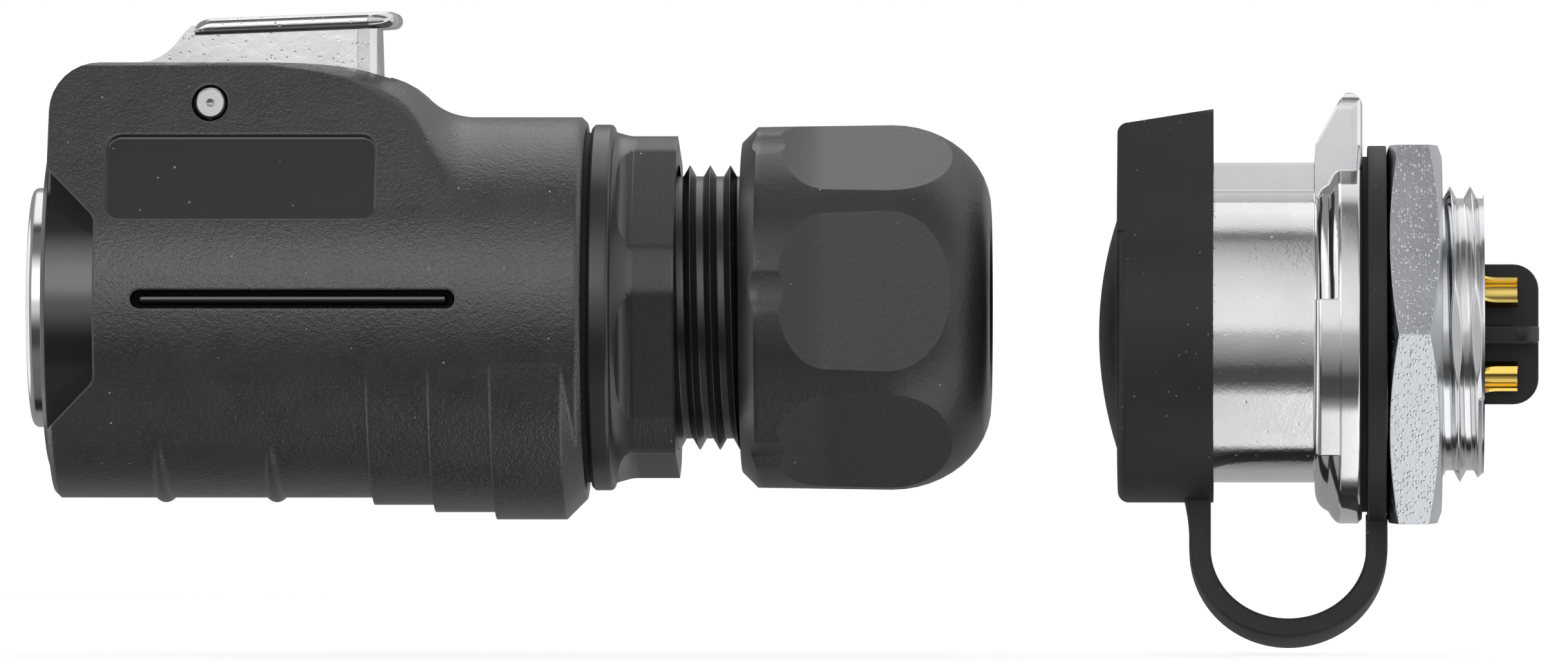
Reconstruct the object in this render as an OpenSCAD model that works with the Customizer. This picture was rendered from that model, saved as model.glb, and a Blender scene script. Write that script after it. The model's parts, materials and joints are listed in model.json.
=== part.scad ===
// Circular connector: a cable plug with a thumb latch, and a panel socket with a dust cap.
// Both axes lie along X, and both mating ends face -X. The origin is on the socket's axis,
// in the panel plane behind its flange. All sizes are in millimetres.

/* [Mating interface] */
// Outside diameter of the plug's mating sleeve
sleeve_d = 17.8; // [16:0.1:19]
// Wall of the mating sleeve
sleeve_wall = 1; // [0.7:0.1:1.4]
// Length of the sleeve ahead of the shell's front
sleeve_reach = 1.7; // [1:0.1:2.5]
// Outside diameter of the socket's barrel
barrel_d = 22; // [21.5:0.1:24]
// Length of the socket's barrel ahead of its flange
barrel_len = 13.5; // [11:0.5:16]
// Width of the key rib on the barrel
key_w = 6; // [4:0.5:7]
// Height of the key rib above the barrel
key_h = 1.7; // [1.2:0.1:2]
// Radial clearance between the mating parts
mating_clear = 0.15; // [0.1:0.05:0.3]

/* [Contacts] */
// Number of contacts
contact_n = 4; // [3:1:5]
// Diameter of the circle that the contacts stand on
contact_circle_d = 9.3; // [8.4:0.1:10]
// Outside diameter of a contact
contact_d = 2.6; // [2.2:0.1:2.8]
// Diameter of a contact's pin
contact_pin_d = 1.8; // [1.4:0.1:1.9]
// Length of a socket contact's pin, ahead of its insulator
pin_reach = 8.8; // [7:0.1:9.5]
// Diameter of the hole in a solder cup
cup_hole_d = 2; // [1.6:0.1:2.1]
// Depth of the hole in a solder cup
cup_depth = 3.5; // [2.5:0.1:4]
// Reach of the solder cups behind their insulators
cup_reach = 3.9; // [3:0.1:5]

/* [Plug shell] */
// Length of the shell
shell_len = 39.5; // [38:0.5:44]
// Wall of the shell's barrel
shell_wall = 1.9; // [1.6:0.1:2.6]
// Wall of the front liner
liner_wall = 1.05; // [0.9:0.05:1.3]
// Height of the latch hump above the barrel
hump_rise = 4; // [3.6:0.1:5]
// Tilt of the hump's side faces
hump_tilt = 28; // [26:1:31]
// Radius of the hump's front top corner
hump_corner = 3.6; // [2:0.2:4.4]
// Depth of the side windows at the front
window_depth = 3.6; // [2:0.2:4]
// Height of the side windows at the front edge
window_h = 19.3; // [15:0.1:20]
// Radius of the side windows' rear corners
window_corner = 1.2; // [0.6:0.1:2]
// Height of the window centre and of the side groove above the axis
side_line_z = 0.6; // [0:0.1:1]
// Length of the label recess
label_len = 19.9; // [14:0.1:21]
// Width of the label recess, up the side face
label_w = 7.1; // [5:0.1:7.4]
// Depth of the label recess
label_depth = 0.45; // [0.3:0.05:0.7]
// Length of the side groove
groove_len = 23.9; // [18:0.1:28]
// Height of the side groove
groove_h = 1.35; // [1:0.05:2]
// Depth of the side groove
groove_depth = 0.65; // [0.4:0.05:0.9]
// Height of each grip step below the barrel
step_rise = 0.54; // [0.3:0.02:0.7]
// Distance between the grip steps
step_pitch = 4.55; // [3.5:0.05:4.8]
// Height of the ribs below the barrel
rib_rise = 0.35; // [0.15:0.05:0.5]

/* [Latch] */
// Width of the lever's body
lever_w = 8.5; // [7.6:0.1:9]
// Width of the thumb pad
pad_w = 10.4; // [9.6:0.1:11.5]
// Length of the thumb pad
pad_len = 15.05; // [13.5:0.05:15.5]
// Thickness of the thumb pad's rim
pad_t = 1.2; // [0.9:0.1:1.5]
// Height of the pad's underside above the hump, at its front
pad_lift = 2.02; // [1.9:0.02:2.6]
// Diameter of the pivot pin
pin_d = 2.3; // [2:0.1:2.4]
// Length of the pivot pin
pin_len = 15.2; // [14:0.1:15.6]
// Wire diameter of the latch spring
spring_wire_d = 0.5; // [0.4:0.05:0.6]
// Mean diameter of the latch spring
spring_d = 3.4; // [3:0.1:4]

/* [Back shell] */
// Hexagon across flats
collar_af = 24; // [23:0.5:26]
// Thickness of the gasket between shell and back shell
gasket_t = 0.4; // [0.3:0.05:0.8]
// Thickness of the back shell's flange
collar_flange_t = 1.7; // [1.2:0.1:2.4]
// Length of the collar, from flange face to thread
collar_len = 6.4; // [5.5:0.1:8]
// Outside diameter of the gland thread
gland_thread_d = 21.2; // [20.6:0.1:22]
// Length of the gland thread
gland_thread_len = 10; // [9.5:0.5:12]
// Turns that the gland nut stands open
gland_turns = 3; // [1:1:3]
// Pitch of the threads
thread_pitch = 1.5; // [1:0.25:1.5]

/* [Gland nut] */
// Length of the gland nut
gland_nut_len = 18.45; // [17.5:0.05:21]
// Step from the collar's flange down to the gland nut, on the radius
gland_nut_step = 0.04; // [0:0.02:0.2]
// Depth of the nut's rear wall, behind the collet
nut_wall_depth = 5; // [4:0.1:5.6]
// Depth of the grip flats
grip_depth = 1.38; // [0.8:0.02:1.6]
// Number of grip flats
grip_n = 6; // [5:1:8]
// Diameter of the cable hole in the nut
cable_hole_d = 13.4; // [12.6:0.1:13.8]
// Largest cable that the seal takes
seal_bore_d = 10; // [7:0.1:11]
// Radial thickness of the cable seal
seal_wall = 1.9; // [1.4:0.1:2]
// Wall of the collet
cage_wall = 1.1; // [0.9:0.1:1.2]
// Room ahead of the collet when the gland nut is home
cage_spare = 2.5; // [1.5:0.1:3]

/* [Socket] */
// Diameter of the panel thread
panel_thread_d = 22; // [21.8:0.1:23]
// Length of the panel thread behind the flange
panel_thread_len = 9; // [8:0.5:12]
// Distance of the thread's flats from the axis
thread_flat = 10.3; // [10.2:0.05:10.9]
// Diameter of the flange
flange_d = 28.1; // [27:0.1:30]
// Thickness of the flange's disc
flange_t = 2; // [1.5:0.1:2.6]
// Thickness of the collar ahead of the disc
flange_collar_t = 1.5; // [1:0.1:2]
// Height of the catch horn above the axis
horn_h = 17.85; // [16.5:0.05:20]
// Width of the catch horn
horn_w = 14.4; // [10:0.2:15]
// Reach of the cross partition behind the thread
partition_reach = 4.1; // [3:0.1:6]
// Radius of the cross partition
partition_r = 5.2; // [4.6:0.1:6]
// Thickness of the partition's walls
partition_t = 1.2; // [0.8:0.1:1.6]
// Distance of the socket insulator's rear face ahead of the thread's end
insulator_inset = 1.4; // [0.8:0.1:2]

/* [Panel nut and seals] */
// Panel nut across flats
panel_nut_af = 28; // [27:0.5:32]
// Thickness of the panel nut
panel_nut_t = 4.05; // [3:0.05:4.6]
// Thickness of the panel seal
panel_seal_t = 0.4; // [0.3:0.05:0.8]
// Thickness of the strap's ring
strap_ring_t = 1.4; // [1:0.1:1.8]
// Outside diameter of the strap's ring
strap_ring_d = 28; // [26:0.5:29]

/* [Dust cap] */
// Wall of the cap around the barrel
cap_wall = 1.42; // [1.1:0.02:2]
// Length of the cap's body
cap_len = 7.1; // [6:0.1:9]
// Thickness of the cap's front wall
cap_front_t = 0.8; // [0.6:0.1:1.4]
// Height of the dome on the cap's front
cap_dome_h = 1.4; // [0.8:0.1:2]
// Diameter of the dome
cap_dome_d = 17.4; // [14:0.2:19]
// Height of the cap's tab above its body, at the rear
cap_tab_rise = 4.2; // [3.4:0.1:5]
// Tilt of the tab's side faces
cap_tab_tilt = 38; // [34:1:42]
// Width of the strap
strap_w = 4.6; // [3.5:0.1:6]
// Thickness of the strap
strap_t = 1.55; // [1.2:0.05:2]
// Length of the strap's straight legs below the cap
strap_drop = 2.9; // [2:0.1:6]

/* [Layout] */
// Distance of the plug's front plane ahead of the panel plane
plug_front = 97; // [96:0.5:120]
// Height of the plug's axis above the socket's axis
plug_lift = 2; // [-10:0.5:10]

/* [Hidden] */
$fn = 96;

// Clearances: parts that sit in one another, parts that turn or slide, and parts that pass
seat_clear = 0.05;
run_clear = 0.06;
free_clear = 0.3;
// Overshoot of a cut past the face that it opens
over = 1;
// Small step that keeps two touching rounds apart
touch = 0.01;
// How far a side face dips below the round that it runs into
tangent_dip = 0.03;

// Plug, from the axis outwards
sleeve_r = sleeve_d / 2;
sleeve_bore_r = sleeve_r - sleeve_wall;
barrel_r = barrel_d / 2;
liner_bore_r = barrel_r + mating_clear;
liner_r = liner_bore_r + liner_wall;
shell_bore_r = liner_r + seat_clear;
shell_r = shell_bore_r + shell_wall;
shoulder_step = 0.55;
shoulder_r = liner_bore_r - shoulder_step;
spigot_step = 0.35;
spigot_bore_r = shell_bore_r - spigot_step;
spigot_r = spigot_bore_r - seat_clear;
key_top = barrel_r + key_h;
key_slot_w = key_w + 2 * free_clear;
key_slot_top = key_top + free_clear;
hump_top = shell_r + hump_rise;

// Plug, from the shell's front to the rear
cavity_spare = 1.5;
cavity_depth = barrel_len + cavity_spare;
sleeve_flange_t = 2;
shoulder_x = cavity_depth + sleeve_flange_t;
shoulder_t = 2;
insert_seat_x = shoulder_x + shoulder_t;
insert_flange_t = 1.5;
spigot_x = insert_seat_x + insert_flange_t;
insert_tail = 2.5;
insert_end_x = spigot_x + insert_tail;
insert_inset = 0.8;
insert_front_x = insert_inset - sleeve_reach;
contact_front_x = 0;
contact_socket_depth = 9;
contact_end_x = insert_end_x + cup_reach;
contact_r = contact_d / 2;
liner_reach = 0.4;
collar_x = shell_len + gasket_t;
thread_x = collar_x + collar_len;
thread_end_x = thread_x + gland_thread_len;
gland_travel = gland_turns * thread_pitch;
nut_gap = 0.25;
nut_x = thread_x + gland_travel + nut_gap;
nut_end_x = nut_x + gland_nut_len;

// Latch
pivot_x = 11.9;
pivot_drop = 3.05;
pivot_z = hump_top - pivot_drop;
pin_r = pin_d / 2;
lever_front_x = 6.2;
lever_rear_x = 24.3;
pad_front_x = 10.6;
pad_tilt = 2.2;
pad_under_z = hump_top + pad_lift;
pocket_front_x = lever_front_x - 2 * free_clear;
pocket_rear_gap = 0.8;
pocket_rear_x = lever_rear_x + pocket_rear_gap;
pocket_side_gap = 0.25;
pocket_w = lever_w + 2 * pocket_side_gap;
pocket_floor_t = 0.65;
pocket_floor_z = shell_bore_r + pocket_floor_t;
skirt_lift = 2.5;
skirt_z = pocket_floor_z + skirt_lift;
roof_drop = 0.47;
lever_roof_z = pad_under_z - roof_drop;
spring_x = 19.3;
spring_turns = 4.5;

// Collar and gland
collar_corner_rise = 0.85;
collar_corner_r = collar_af / 2 + collar_corner_rise;
collar_flange_rise = 0.75;
collar_flange_r = collar_corner_r + collar_flange_rise;
gland_thread_r = gland_thread_d / 2;
gland_bore_r = gland_thread_r + run_clear;
gland_nut_r = collar_flange_r - gland_nut_step;
cable_hole_r = cable_hole_d / 2;
cage_bore_r = seal_bore_d / 2 + seal_wall + seat_clear;
cage_r = cage_bore_r + cage_wall;
cage_flange_rise = 0.8;
cage_flange_r = cage_r + cage_flange_rise;
cage_flange_t = 1.4;
gland_socket_r = cage_r + free_clear;
nut_shoulder_x = nut_end_x - nut_wall_depth;
nut_bore_end_x = thread_end_x + gland_travel + over;
cage_gap = 0.15;
cage_end_x = nut_shoulder_x - cage_gap;
cage_lip_t = 1;
cage_lip_h = 0.9;
gland_seat_depth = 1.3;
gland_seat_x = thread_x - gland_seat_depth;
cage_front_x = gland_seat_x + gland_travel + cage_spare;

// Socket
panel_thread_r = panel_thread_d / 2;
socket_bore_r = sleeve_r + mating_clear;
flange_r = flange_d / 2;
flange_front_x = -flange_t - flange_collar_t;
barrel_front_x = flange_front_x - barrel_len;
interface_gap = 0.1;
interface_x = flange_front_x + sleeve_reach + interface_gap;
interface_t = 0.8;
lip_x = interface_x + interface_t;
lip_t = 1.5;
lip_h = 0.85;
lip_r = socket_bore_r - lip_h;
insert_step_x = lip_x + lip_t;
tail_wall = 1.7;
tail_bore_r = panel_thread_r - tail_wall;
insert_rear_x = panel_thread_len - insulator_inset;
pin_tip_x = interface_x - pin_reach;
cup_end_x = insert_rear_x + cup_reach;
strap_ring_x = panel_seal_t;
strap_ring_end_x = strap_ring_x + strap_ring_t;
strap_ring_r = strap_ring_d / 2;
panel_nut_x = strap_ring_end_x + seat_clear;

// Dust cap
cap_bore_clear = 0.08;
cap_bore_r = barrel_r + cap_bore_clear;
cap_r = cap_bore_r + cap_wall;
cap_inner_x = barrel_front_x - free_clear;
cap_front_x = cap_inner_x - cap_front_t;
cap_rear_x = cap_front_x + cap_len;
strap_root_h = 0.7;
strap_root_z = -cap_r - strap_root_h;
strap_inset = 1;
strap_front_x = cap_rear_x - strap_inset;
strap_rear_x = strap_ring_x + strap_ring_t / 2;
strap_bend_r = (strap_rear_x - strap_front_x) / 2;
strap_bend_z = strap_root_z - strap_drop;

// Points of an arc about c, from angle a0 to angle a1
function arc(c, r, a0, a1, n = 8) =
    [for (i = [0:n]) c + r * [cos(a0 + (a1 - a0) * i / n), sin(a0 + (a1 - a0) * i / n)]];

// Points of a curve from p0 to p2 that heads for p1
function bend(p0, p1, p2, n = 8) =
    [for (i = [0:n]) let (t = i / n) (1 - t) * (1 - t) * p0 + 2 * t * (1 - t) * p1 + t * t * p2];

// Outline of a rectangle with rounded corners, centred
function round_rect(w, h, r) = concat(
    arc([w / 2 - r, h / 2 - r], r, 0, 90),
    arc([r - w / 2, h / 2 - r], r, 90, 180),
    arc([r - w / 2, r - h / 2], r, 180, 270),
    arc([w / 2 - r, r - h / 2], r, 270, 360));

// Half of a hump's section: a side face that touches a round of radius r, and a rounded top edge
function hump_side(r, tilt, top, edge) =
    let (d = r - tangent_dip, z = top - edge)
    concat([d * [cos(tilt), sin(tilt)]],
        arc([(d - edge - sin(tilt) * z) / cos(tilt), z], edge, tilt, 90));
function mirrored(points) = [for (i = [len(points) - 1:-1:0]) [-points[i][0], points[i][1]]];
function flipped(points) = [for (i = [len(points) - 1:-1:0]) [points[i][0], -points[i][1]]];
function hump_section(r, tilt, top, edge) =
    let (half = hump_side(r, tilt, top, edge)) concat(half, mirrored(half));

// Drop of a round's centre, so that it stands h proud at the bottom and fades out at depth z
function sag(r, h, z) = ((r + h) * (r + h) - r * r) / (2 * (r + h - z));

module at_plug() translate([-plug_front, 0, plug_lift]) children();
module rod(x0, x1, r) translate([x0, 0, 0]) rotate([0, 90, 0]) cylinder(h = x1 - x0, r = r);
module turned(profile) rotate([0, 90, 0]) rotate_extrude() polygon([for (p = profile) [p[1], p[0]]]);
module along_x(x0, x1) translate([x0, 0, 0]) rotate([90, 0, 90]) linear_extrude(x1 - x0) children();
module across_y(w) rotate([90, 0, 0]) linear_extrude(w, center = true) children();
module both_sides() {
    children();
    mirror([0, 1, 0]) children();
}
module cross_pin(x, z, r, len) translate([x, 0, z]) rotate([90, 0, 0])
    cylinder(h = len, r = r, center = true);
module on_contacts() for (i = [0:contact_n - 1]) rotate([(i + 0.5) * 360 / contact_n, 0, 0])
    translate([0, 0, contact_circle_d / 2]) children();

// Shell

hump_edge = 0.8;
hump_corner_proud = 0.15;
hump_corner_r = norm(hump_side(shell_r, hump_tilt, hump_top, hump_edge)[1]) + hump_corner_proud;

module hump() {
    ramp_x = 16;
    ramp_end_x = 31.5;
    ramp_crown = 0.3;
    ramp_share = 0.54;
    ramp_top = [25, hump_top + ramp_crown];
    ramp_low = [27.2, shell_r + ramp_share * hump_rise];
    ridge_share = 0.4;
    ridge_low = [27.4, shell_r + ridge_share * hump_rise];
    ridge_foot = [ramp_end_x, shell_r - tangent_dip];
    fillet = 5;
    fillet_angle = 45;
    foot = [ramp_end_x, shell_r - tangent_dip + fillet];
    profile = concat([[0, 0], [0, hump_corner_r]],
        bend([ramp_x, hump_corner_r], ramp_top, ramp_low),
        arc(foot, fillet, 270 - fillet_angle, 270),
        [[ramp_end_x, 0]]);
    intersection() {
        along_x(0, ramp_end_x) polygon(hump_section(shell_r, hump_tilt, hump_top, hump_edge));
        turned(profile);
        across_y(4 * shell_r) polygon(concat([[0, 0]],
            arc([hump_corner, hump_top - hump_corner], hump_corner, 180, 90),
            bend([ramp_x, hump_top], [ramp_top[0], hump_top], ridge_low),
            bend(ridge_low + [touch, 0], [ramp_low[0] + fillet / 3, shell_r], ridge_foot),
            [[ramp_end_x, 0]]));
    }
}

module low_round(x0, x1, h, z) translate([0, 0, -sag(shell_r, h, z)])
    rod(x0, x1, shell_r + h - sag(shell_r, h, z));

module grip_steps() {
    count = 3;
    first_x = 23.7;
    chamfer = 1.5;
    stagger = 0.2;
    first_fade = 4.7;
    fade_step = 0.3;
    for (i = [0:count - 1]) {
        h = step_rise * (i + 1);
        fade = first_fade - fade_step * i;
        drop = sag(shell_r, h, fade);
        r = shell_r + h - drop;
        low_round(first_x + i * step_pitch, shell_len - chamfer - stagger * (count - 1 - i), h, fade);
        if (i == count - 1) translate([shell_len - chamfer, 0, -drop]) rotate([0, 90, 0])
            cylinder(h = chamfer, r1 = r, r2 = r - chamfer);
    }
}

module grip_ribs() {
    first_x = 7.45;
    pitch = 8.25;
    width = 1.4;
    fade = 10;
    drop = sag(shell_r, rib_rise, fade);
    crest = shell_r + rib_rise - drop;
    for (x = [first_x, first_x + pitch]) translate([x, 0, -drop]) turned(concat([[0, 0]],
        bend([0, crest - rib_rise], [width / 2, crest + rib_rise], [width, crest - rib_rise]),
        [[width, 0]]));
}

module label_recess() {
    front_x = 4.4;
    corner = 1.1;
    drop = 0.15;
    rotate([90 - hump_tilt, 0, 0])
        translate([front_x + label_len / 2, label_w / 2 - drop, shell_r - label_depth])
        linear_extrude(label_depth + over) polygon(round_rect(label_len, label_w, corner));
}

groove_x = 6.4;

module side_groove() translate([groove_x + groove_len / 2, groove_depth - shell_r, side_line_z])
    rotate([90, 0, 0]) linear_extrude(groove_depth + over)
    polygon(round_rect(groove_len, groove_h, groove_h / 2 - touch));

module groove_bead() {
    end = groove_h / 2;
    translate([0, groove_depth - shell_r, side_line_z])
        rod(groove_x + end, groove_x + groove_len - end, groove_h / 4);
}

module side_windows() {
    front = window_h / 2 + over;
    rear = window_h / 2 - window_depth;
    centre = [window_depth - window_corner, rear - window_corner * tan(22.5)];
    upper = arc(centre, window_corner, 0, 45);
    across_y(4 * shell_r) translate([0, side_line_z])
        polygon(concat([[-over, -front]], flipped(upper), upper, [[-over, front]]));
}

module latch_pocket() {
    recess_depth = 1;
    recess_clear = 0.2;
    translate([pocket_front_x, -pocket_w / 2, pocket_floor_z])
        cube([pocket_rear_x - pocket_front_x, pocket_w, 2 * hump_top]);
    translate([-over, -key_slot_w / 2, 0]) cube([cavity_depth + over, key_slot_w, key_slot_top]);
    cross_pin(pivot_x, pivot_z, pin_r + seat_clear, 3 * shell_r);
    both_sides() translate([pivot_x, recess_depth - pin_len / 2, pivot_z]) rotate([90, 0, 0])
        cylinder(h = shell_r, r = pin_r + recess_clear);
}

module plug_shell() color("#3d3d3f") at_plug() {
    edge = 0.4;
    difference() {
        union() {
            turned([[0, 0], [0, shell_r - edge], [edge, shell_r], [shell_len - edge, shell_r],
                [shell_len, shell_r - edge], [shell_len, 0]]);
            hump();
            grip_steps();
            grip_ribs();
        }
        rod(-over, shoulder_x, shell_bore_r);
        rod(-over, shell_len, shoulder_r);
        rod(insert_seat_x, shell_len + over, spigot_bore_r);
        side_windows();
        latch_pocket();
        both_sides() label_recess();
        both_sides() side_groove();
    }
    both_sides() groove_bead();
}

module front_liner() color("#161618") at_plug() difference() {
    rim = 0.3;
    turned([[-liner_reach, liner_bore_r], [-liner_reach, liner_r - rim], [rim - liner_reach, liner_r],
        [cavity_depth, liner_r], [cavity_depth, liner_bore_r]]);
    translate([-over, -key_slot_w / 2, 0]) cube([cavity_depth + 2 * over, key_slot_w, 2 * shell_r]);
}

module mating_sleeve() color("#c9ccd1") at_plug() {
    rim_share = 0.45;
    rim = rim_share * sleeve_wall;
    turned(concat(arc([rim - sleeve_reach, sleeve_bore_r + rim], rim, 270, 180),
        arc([rim - sleeve_reach, sleeve_r - rim], rim, 180, 90),
        [[cavity_depth, sleeve_r], [cavity_depth, liner_r], [shoulder_x, liner_r], [shoulder_x, sleeve_r],
        [insert_seat_x, sleeve_r], [insert_seat_x, sleeve_bore_r]]));
}

// Contacts and insulators

// Bore of a solder cup, and its opening on the side away from the axis
module cup_cut(end_x) {
    open_share = 0.85;
    level_share = 0.4;
    open = [end_x - open_share * cup_depth, contact_r + touch];
    level = [end_x - level_share * cup_depth, 0];
    rod(end_x - cup_depth, end_x + over, cup_hole_d / 2);
    across_y(2 * (contact_r + over)) polygon(concat(bend(open, [open[0], 0], level),
        [[end_x + over, 0], [end_x + over, open[1]]]));
}

module plug_insert() color("#19191b") at_plug() difference() {
    body_r = sleeve_bore_r - seat_clear;
    flange_edge_r = spigot_r - 3 * free_clear;
    tail_r = sleeve_bore_r - free_clear;
    turned([[insert_front_x, 0], [insert_front_x, body_r], [insert_seat_x, body_r],
        [insert_seat_x, flange_edge_r], [spigot_x, flange_edge_r], [spigot_x, tail_r],
        [insert_end_x, tail_r], [insert_end_x, 0]]);
    on_contacts() rod(insert_front_x - over, insert_end_x + over, contact_r + seat_clear);
}

module plug_contacts() color("#c9a24a") at_plug() on_contacts() difference() {
    rod(contact_front_x, contact_end_x, contact_r);
    rod(contact_front_x - over, contact_front_x + contact_socket_depth, contact_pin_d / 2 + seat_clear);
    cup_cut(contact_end_x);
}

// Latch

// Slab with a full round rim along its sides and round its rear corners
module rolled_slab(len, w, t, corner) {
    r = t / 2;
    core = corner - r;
    half = concat(arc([len - corner, w / 2 - corner], core, 0, 90), [[0, w / 2 - r]]);
    translate([0, 0, touch]) linear_extrude(t - 2 * touch) polygon(concat(flipped(half), half));
    cross_pin(len - r, r, r, w - 2 * corner);
    both_sides() {
        translate([0, w / 2 - r, r]) rod(0, len - corner, r);
        translate([len - corner, w / 2 - corner, r]) rotate_extrude(angle = 90)
            translate([core, 0]) circle(r, $fn = 24);
    }
}

module thumb_pad() {
    corner = 2.4;
    rim = 1.1;
    dish = 0.35;
    translate([pad_front_x, 0, pad_under_z]) rotate([0, -pad_tilt, 0])
        difference() {
            rolled_slab(pad_len, pad_w, pad_t, corner);
            translate([pad_len / 2, 0, pad_t - dish]) linear_extrude(over)
                polygon(round_rect(pad_len - 2 * rim, pad_w - 2 * rim, corner - rim / 2));
        }
}

module lever_body() {
    rear_corner = 1.8;
    plan_len = lever_rear_x - lever_front_x + over;
    nose = 0.2;
    nose_h = 1.2;
    sink = 0.4;
    web_reach = 1.3;
    skirt_reach = 3.5;
    under_gap = 0.5;
    under_z = pocket_floor_z + under_gap;
    ramp_len = 3.4;
    ramp_foot = 2.1;
    crest_x = pad_front_x + over;
    crest_z = pad_under_z + pad_t;
    ramp_mid = [lever_front_x + ramp_len, pad_under_z];
    ramp = concat(bend([lever_front_x, hump_top + touch], [lever_front_x + ramp_foot, hump_top], ramp_mid),
        bend(ramp_mid + [touch, touch], [pad_front_x, crest_z], [crest_x, crest_z]));
    intersection() {
        across_y(lever_w) polygon(concat(ramp, [[crest_x + touch, pad_under_z + 2 * sink],
            [lever_rear_x - nose, pad_under_z + 2 * sink], [lever_rear_x, skirt_z],
            [pivot_x + skirt_reach, skirt_z], [pivot_x + web_reach, under_z],
            [lever_front_x + nose, under_z], [lever_front_x, under_z + nose_h]]));
        translate([lever_rear_x - plan_len / 2, 0, 0]) linear_extrude(3 * hump_top)
            polygon(round_rect(plan_len, lever_w, rear_corner));
    }
}

module lever_hook() {
    inset = 0.7;
    cam_x = lever_front_x + inset;
    lead = 1;
    hook_len = 1.9;
    hook_z = key_top - 2 * free_clear;
    root_z = pocket_floor_z + over;
    across_y(key_w - 2 * free_clear) polygon([[cam_x, root_z], [cam_x, pocket_floor_z],
        [cam_x + lead, hook_z], [cam_x + hook_len, hook_z], [cam_x + hook_len, root_z]]);
}

module latch_lever() color("#c2c4c8") at_plug() {
    wall = 1;
    rear_wall = 1.4;
    hollow_reach = 3.9;
    hollow_x = pivot_x + hollow_reach;
    difference() {
        union() {
            lever_body();
            lever_hook();
            thumb_pad();
        }
        cross_pin(pivot_x, pivot_z, pin_r + run_clear, 2 * lever_w);
        translate([hollow_x, wall - lever_w / 2, skirt_z - over])
            cube([lever_rear_x - rear_wall - hollow_x, lever_w - 2 * wall, lever_roof_z - skirt_z + over]);
    }
}

module latch_pin() color("#d6d7d9") at_plug() {
    chamfer = 0.15;
    dimple_r = 0.3;
    half = pin_len / 2;
    profile = [[0, half - dimple_r], [dimple_r, half], [pin_r - chamfer, half], [pin_r, half - chamfer]];
    translate([pivot_x, 0, pivot_z]) rotate([90, 0, 0]) rotate_extrude()
        polygon(concat(profile, flipped(profile)));
}

module latch_spring() color("#8f9296") at_plug() {
    sides = 8;
    steps = 16;
    rings = spring_turns * steps;
    wire_r = spring_wire_d / 2;
    height = lever_roof_z - pocket_floor_z - seat_clear;
    rise = (height - spring_wire_d) / rings;
    points = [for (i = [0:rings], j = [0:sides - 1])
        let (a = i * 360 / steps, b = j * 360 / sides, r = spring_d / 2 + wire_r * cos(b))
        [r * cos(a), r * sin(a), wire_r + i * rise + wire_r * sin(b)]];
    walls = [for (i = [0:rings - 1], j = [0:sides - 1]) let (k = (j + 1) % sides)
        [i * sides + j, i * sides + k, (i + 1) * sides + k, (i + 1) * sides + j]];
    ends = [[for (j = [sides - 1:-1:0]) j], [for (j = [0:sides - 1]) rings * sides + j]];
    translate([spring_x, 0, pocket_floor_z + seat_clear / 2]) polyhedron(points, concat(walls, ends));
}

// Back shell and gland

// Flats cut round a revolved body: their front end runs out on a round of radius run_r
module ring_flats(n, turn, flat_r, x0, x1, run_r, w) for (i = [0:n - 1])
    rotate([90 - turn + i * 360 / n, 0, 0]) {
        translate([x0, -w / 2, flat_r]) cube([x1 - x0, w, flat_r]);
        translate([x0, 0, flat_r + run_r]) rotate([90, 0, 0]) cylinder(h = w, r = run_r, center = true);
    }

module shell_gasket() color("#141415") at_plug() difference() {
    width = 1.1;
    rod(shell_len, collar_x, spigot_bore_r + width);
    rod(shell_len - over, collar_x + over, spigot_bore_r);
}

module back_shell() color("#303032") at_plug() difference() {
    edge = 0.25;
    thread_chamfer = 0.8;
    collar_turn = 42.5;
    flat_gap = 1.6;
    flat_run_r = 1.3;
    spigot_wall = 1.9;
    web_t = 1.5;
    seat_h = 0.6;
    flange_end = collar_x + collar_flange_t;
    round = (collar_flange_r - collar_corner_r) / 2;
    union() {
        difference() {
            turned(concat([[spigot_x, 0], [spigot_x, spigot_r], [collar_x, spigot_r],
                [collar_x, collar_flange_r - edge], [collar_x + edge, collar_flange_r]],
                arc([flange_end - round, collar_flange_r - round], round, 90, 0, 4),
                bend([flange_end, collar_corner_r + round - touch], [flange_end, collar_corner_r],
                    [flange_end + flat_gap, collar_corner_r], 6),
                [[thread_x, collar_corner_r], [thread_x, 0]]));
            ring_flats(6, collar_turn, collar_af / 2, flange_end + flat_gap, thread_x + over, flat_run_r,
                collar_af);
        }
        turned([[collar_x, 0], [collar_x, gland_thread_r],
            [thread_end_x - thread_chamfer, gland_thread_r],
            [thread_end_x, gland_thread_r - thread_chamfer], [thread_end_x, 0]]);
    }
    rod(spigot_x - over, collar_x - web_t, spigot_r - spigot_wall);
    rod(spigot_x - over, thread_end_x + over, cage_bore_r - seat_h);
    rod(gland_seat_x, thread_end_x + over, gland_socket_r);
}

module clamp_cage() color("#4a4a4c") at_plug() difference() {
    fingers = 6;
    slot_w = 1.2;
    slot_share = 0.6;
    slot_len = slot_share * (cage_end_x - cage_front_x);
    union() {
        rod(cage_front_x, cage_end_x, cage_r);
        rod(cage_end_x - cage_flange_t, cage_end_x, cage_flange_r);
    }
    rod(cage_front_x - over, cage_end_x - cage_lip_t, cage_bore_r);
    rod(cage_front_x, cage_end_x + over, cage_bore_r - cage_lip_h);
    for (i = [0:fingers - 1]) rotate([i * 360 / fingers, 0, 0])
        translate([cage_front_x - over, -slot_w / 2, 0]) cube([slot_len + over, slot_w, 2 * cage_r]);
}

module cable_seal() color("#1b1b1c") at_plug() difference() {
    front_x = cage_front_x + over;
    end_x = cage_end_x - cage_lip_t;
    rod(front_x, end_x, cage_bore_r - seat_clear);
    rod(front_x - over, end_x + over, seal_bore_d / 2);
}

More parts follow.
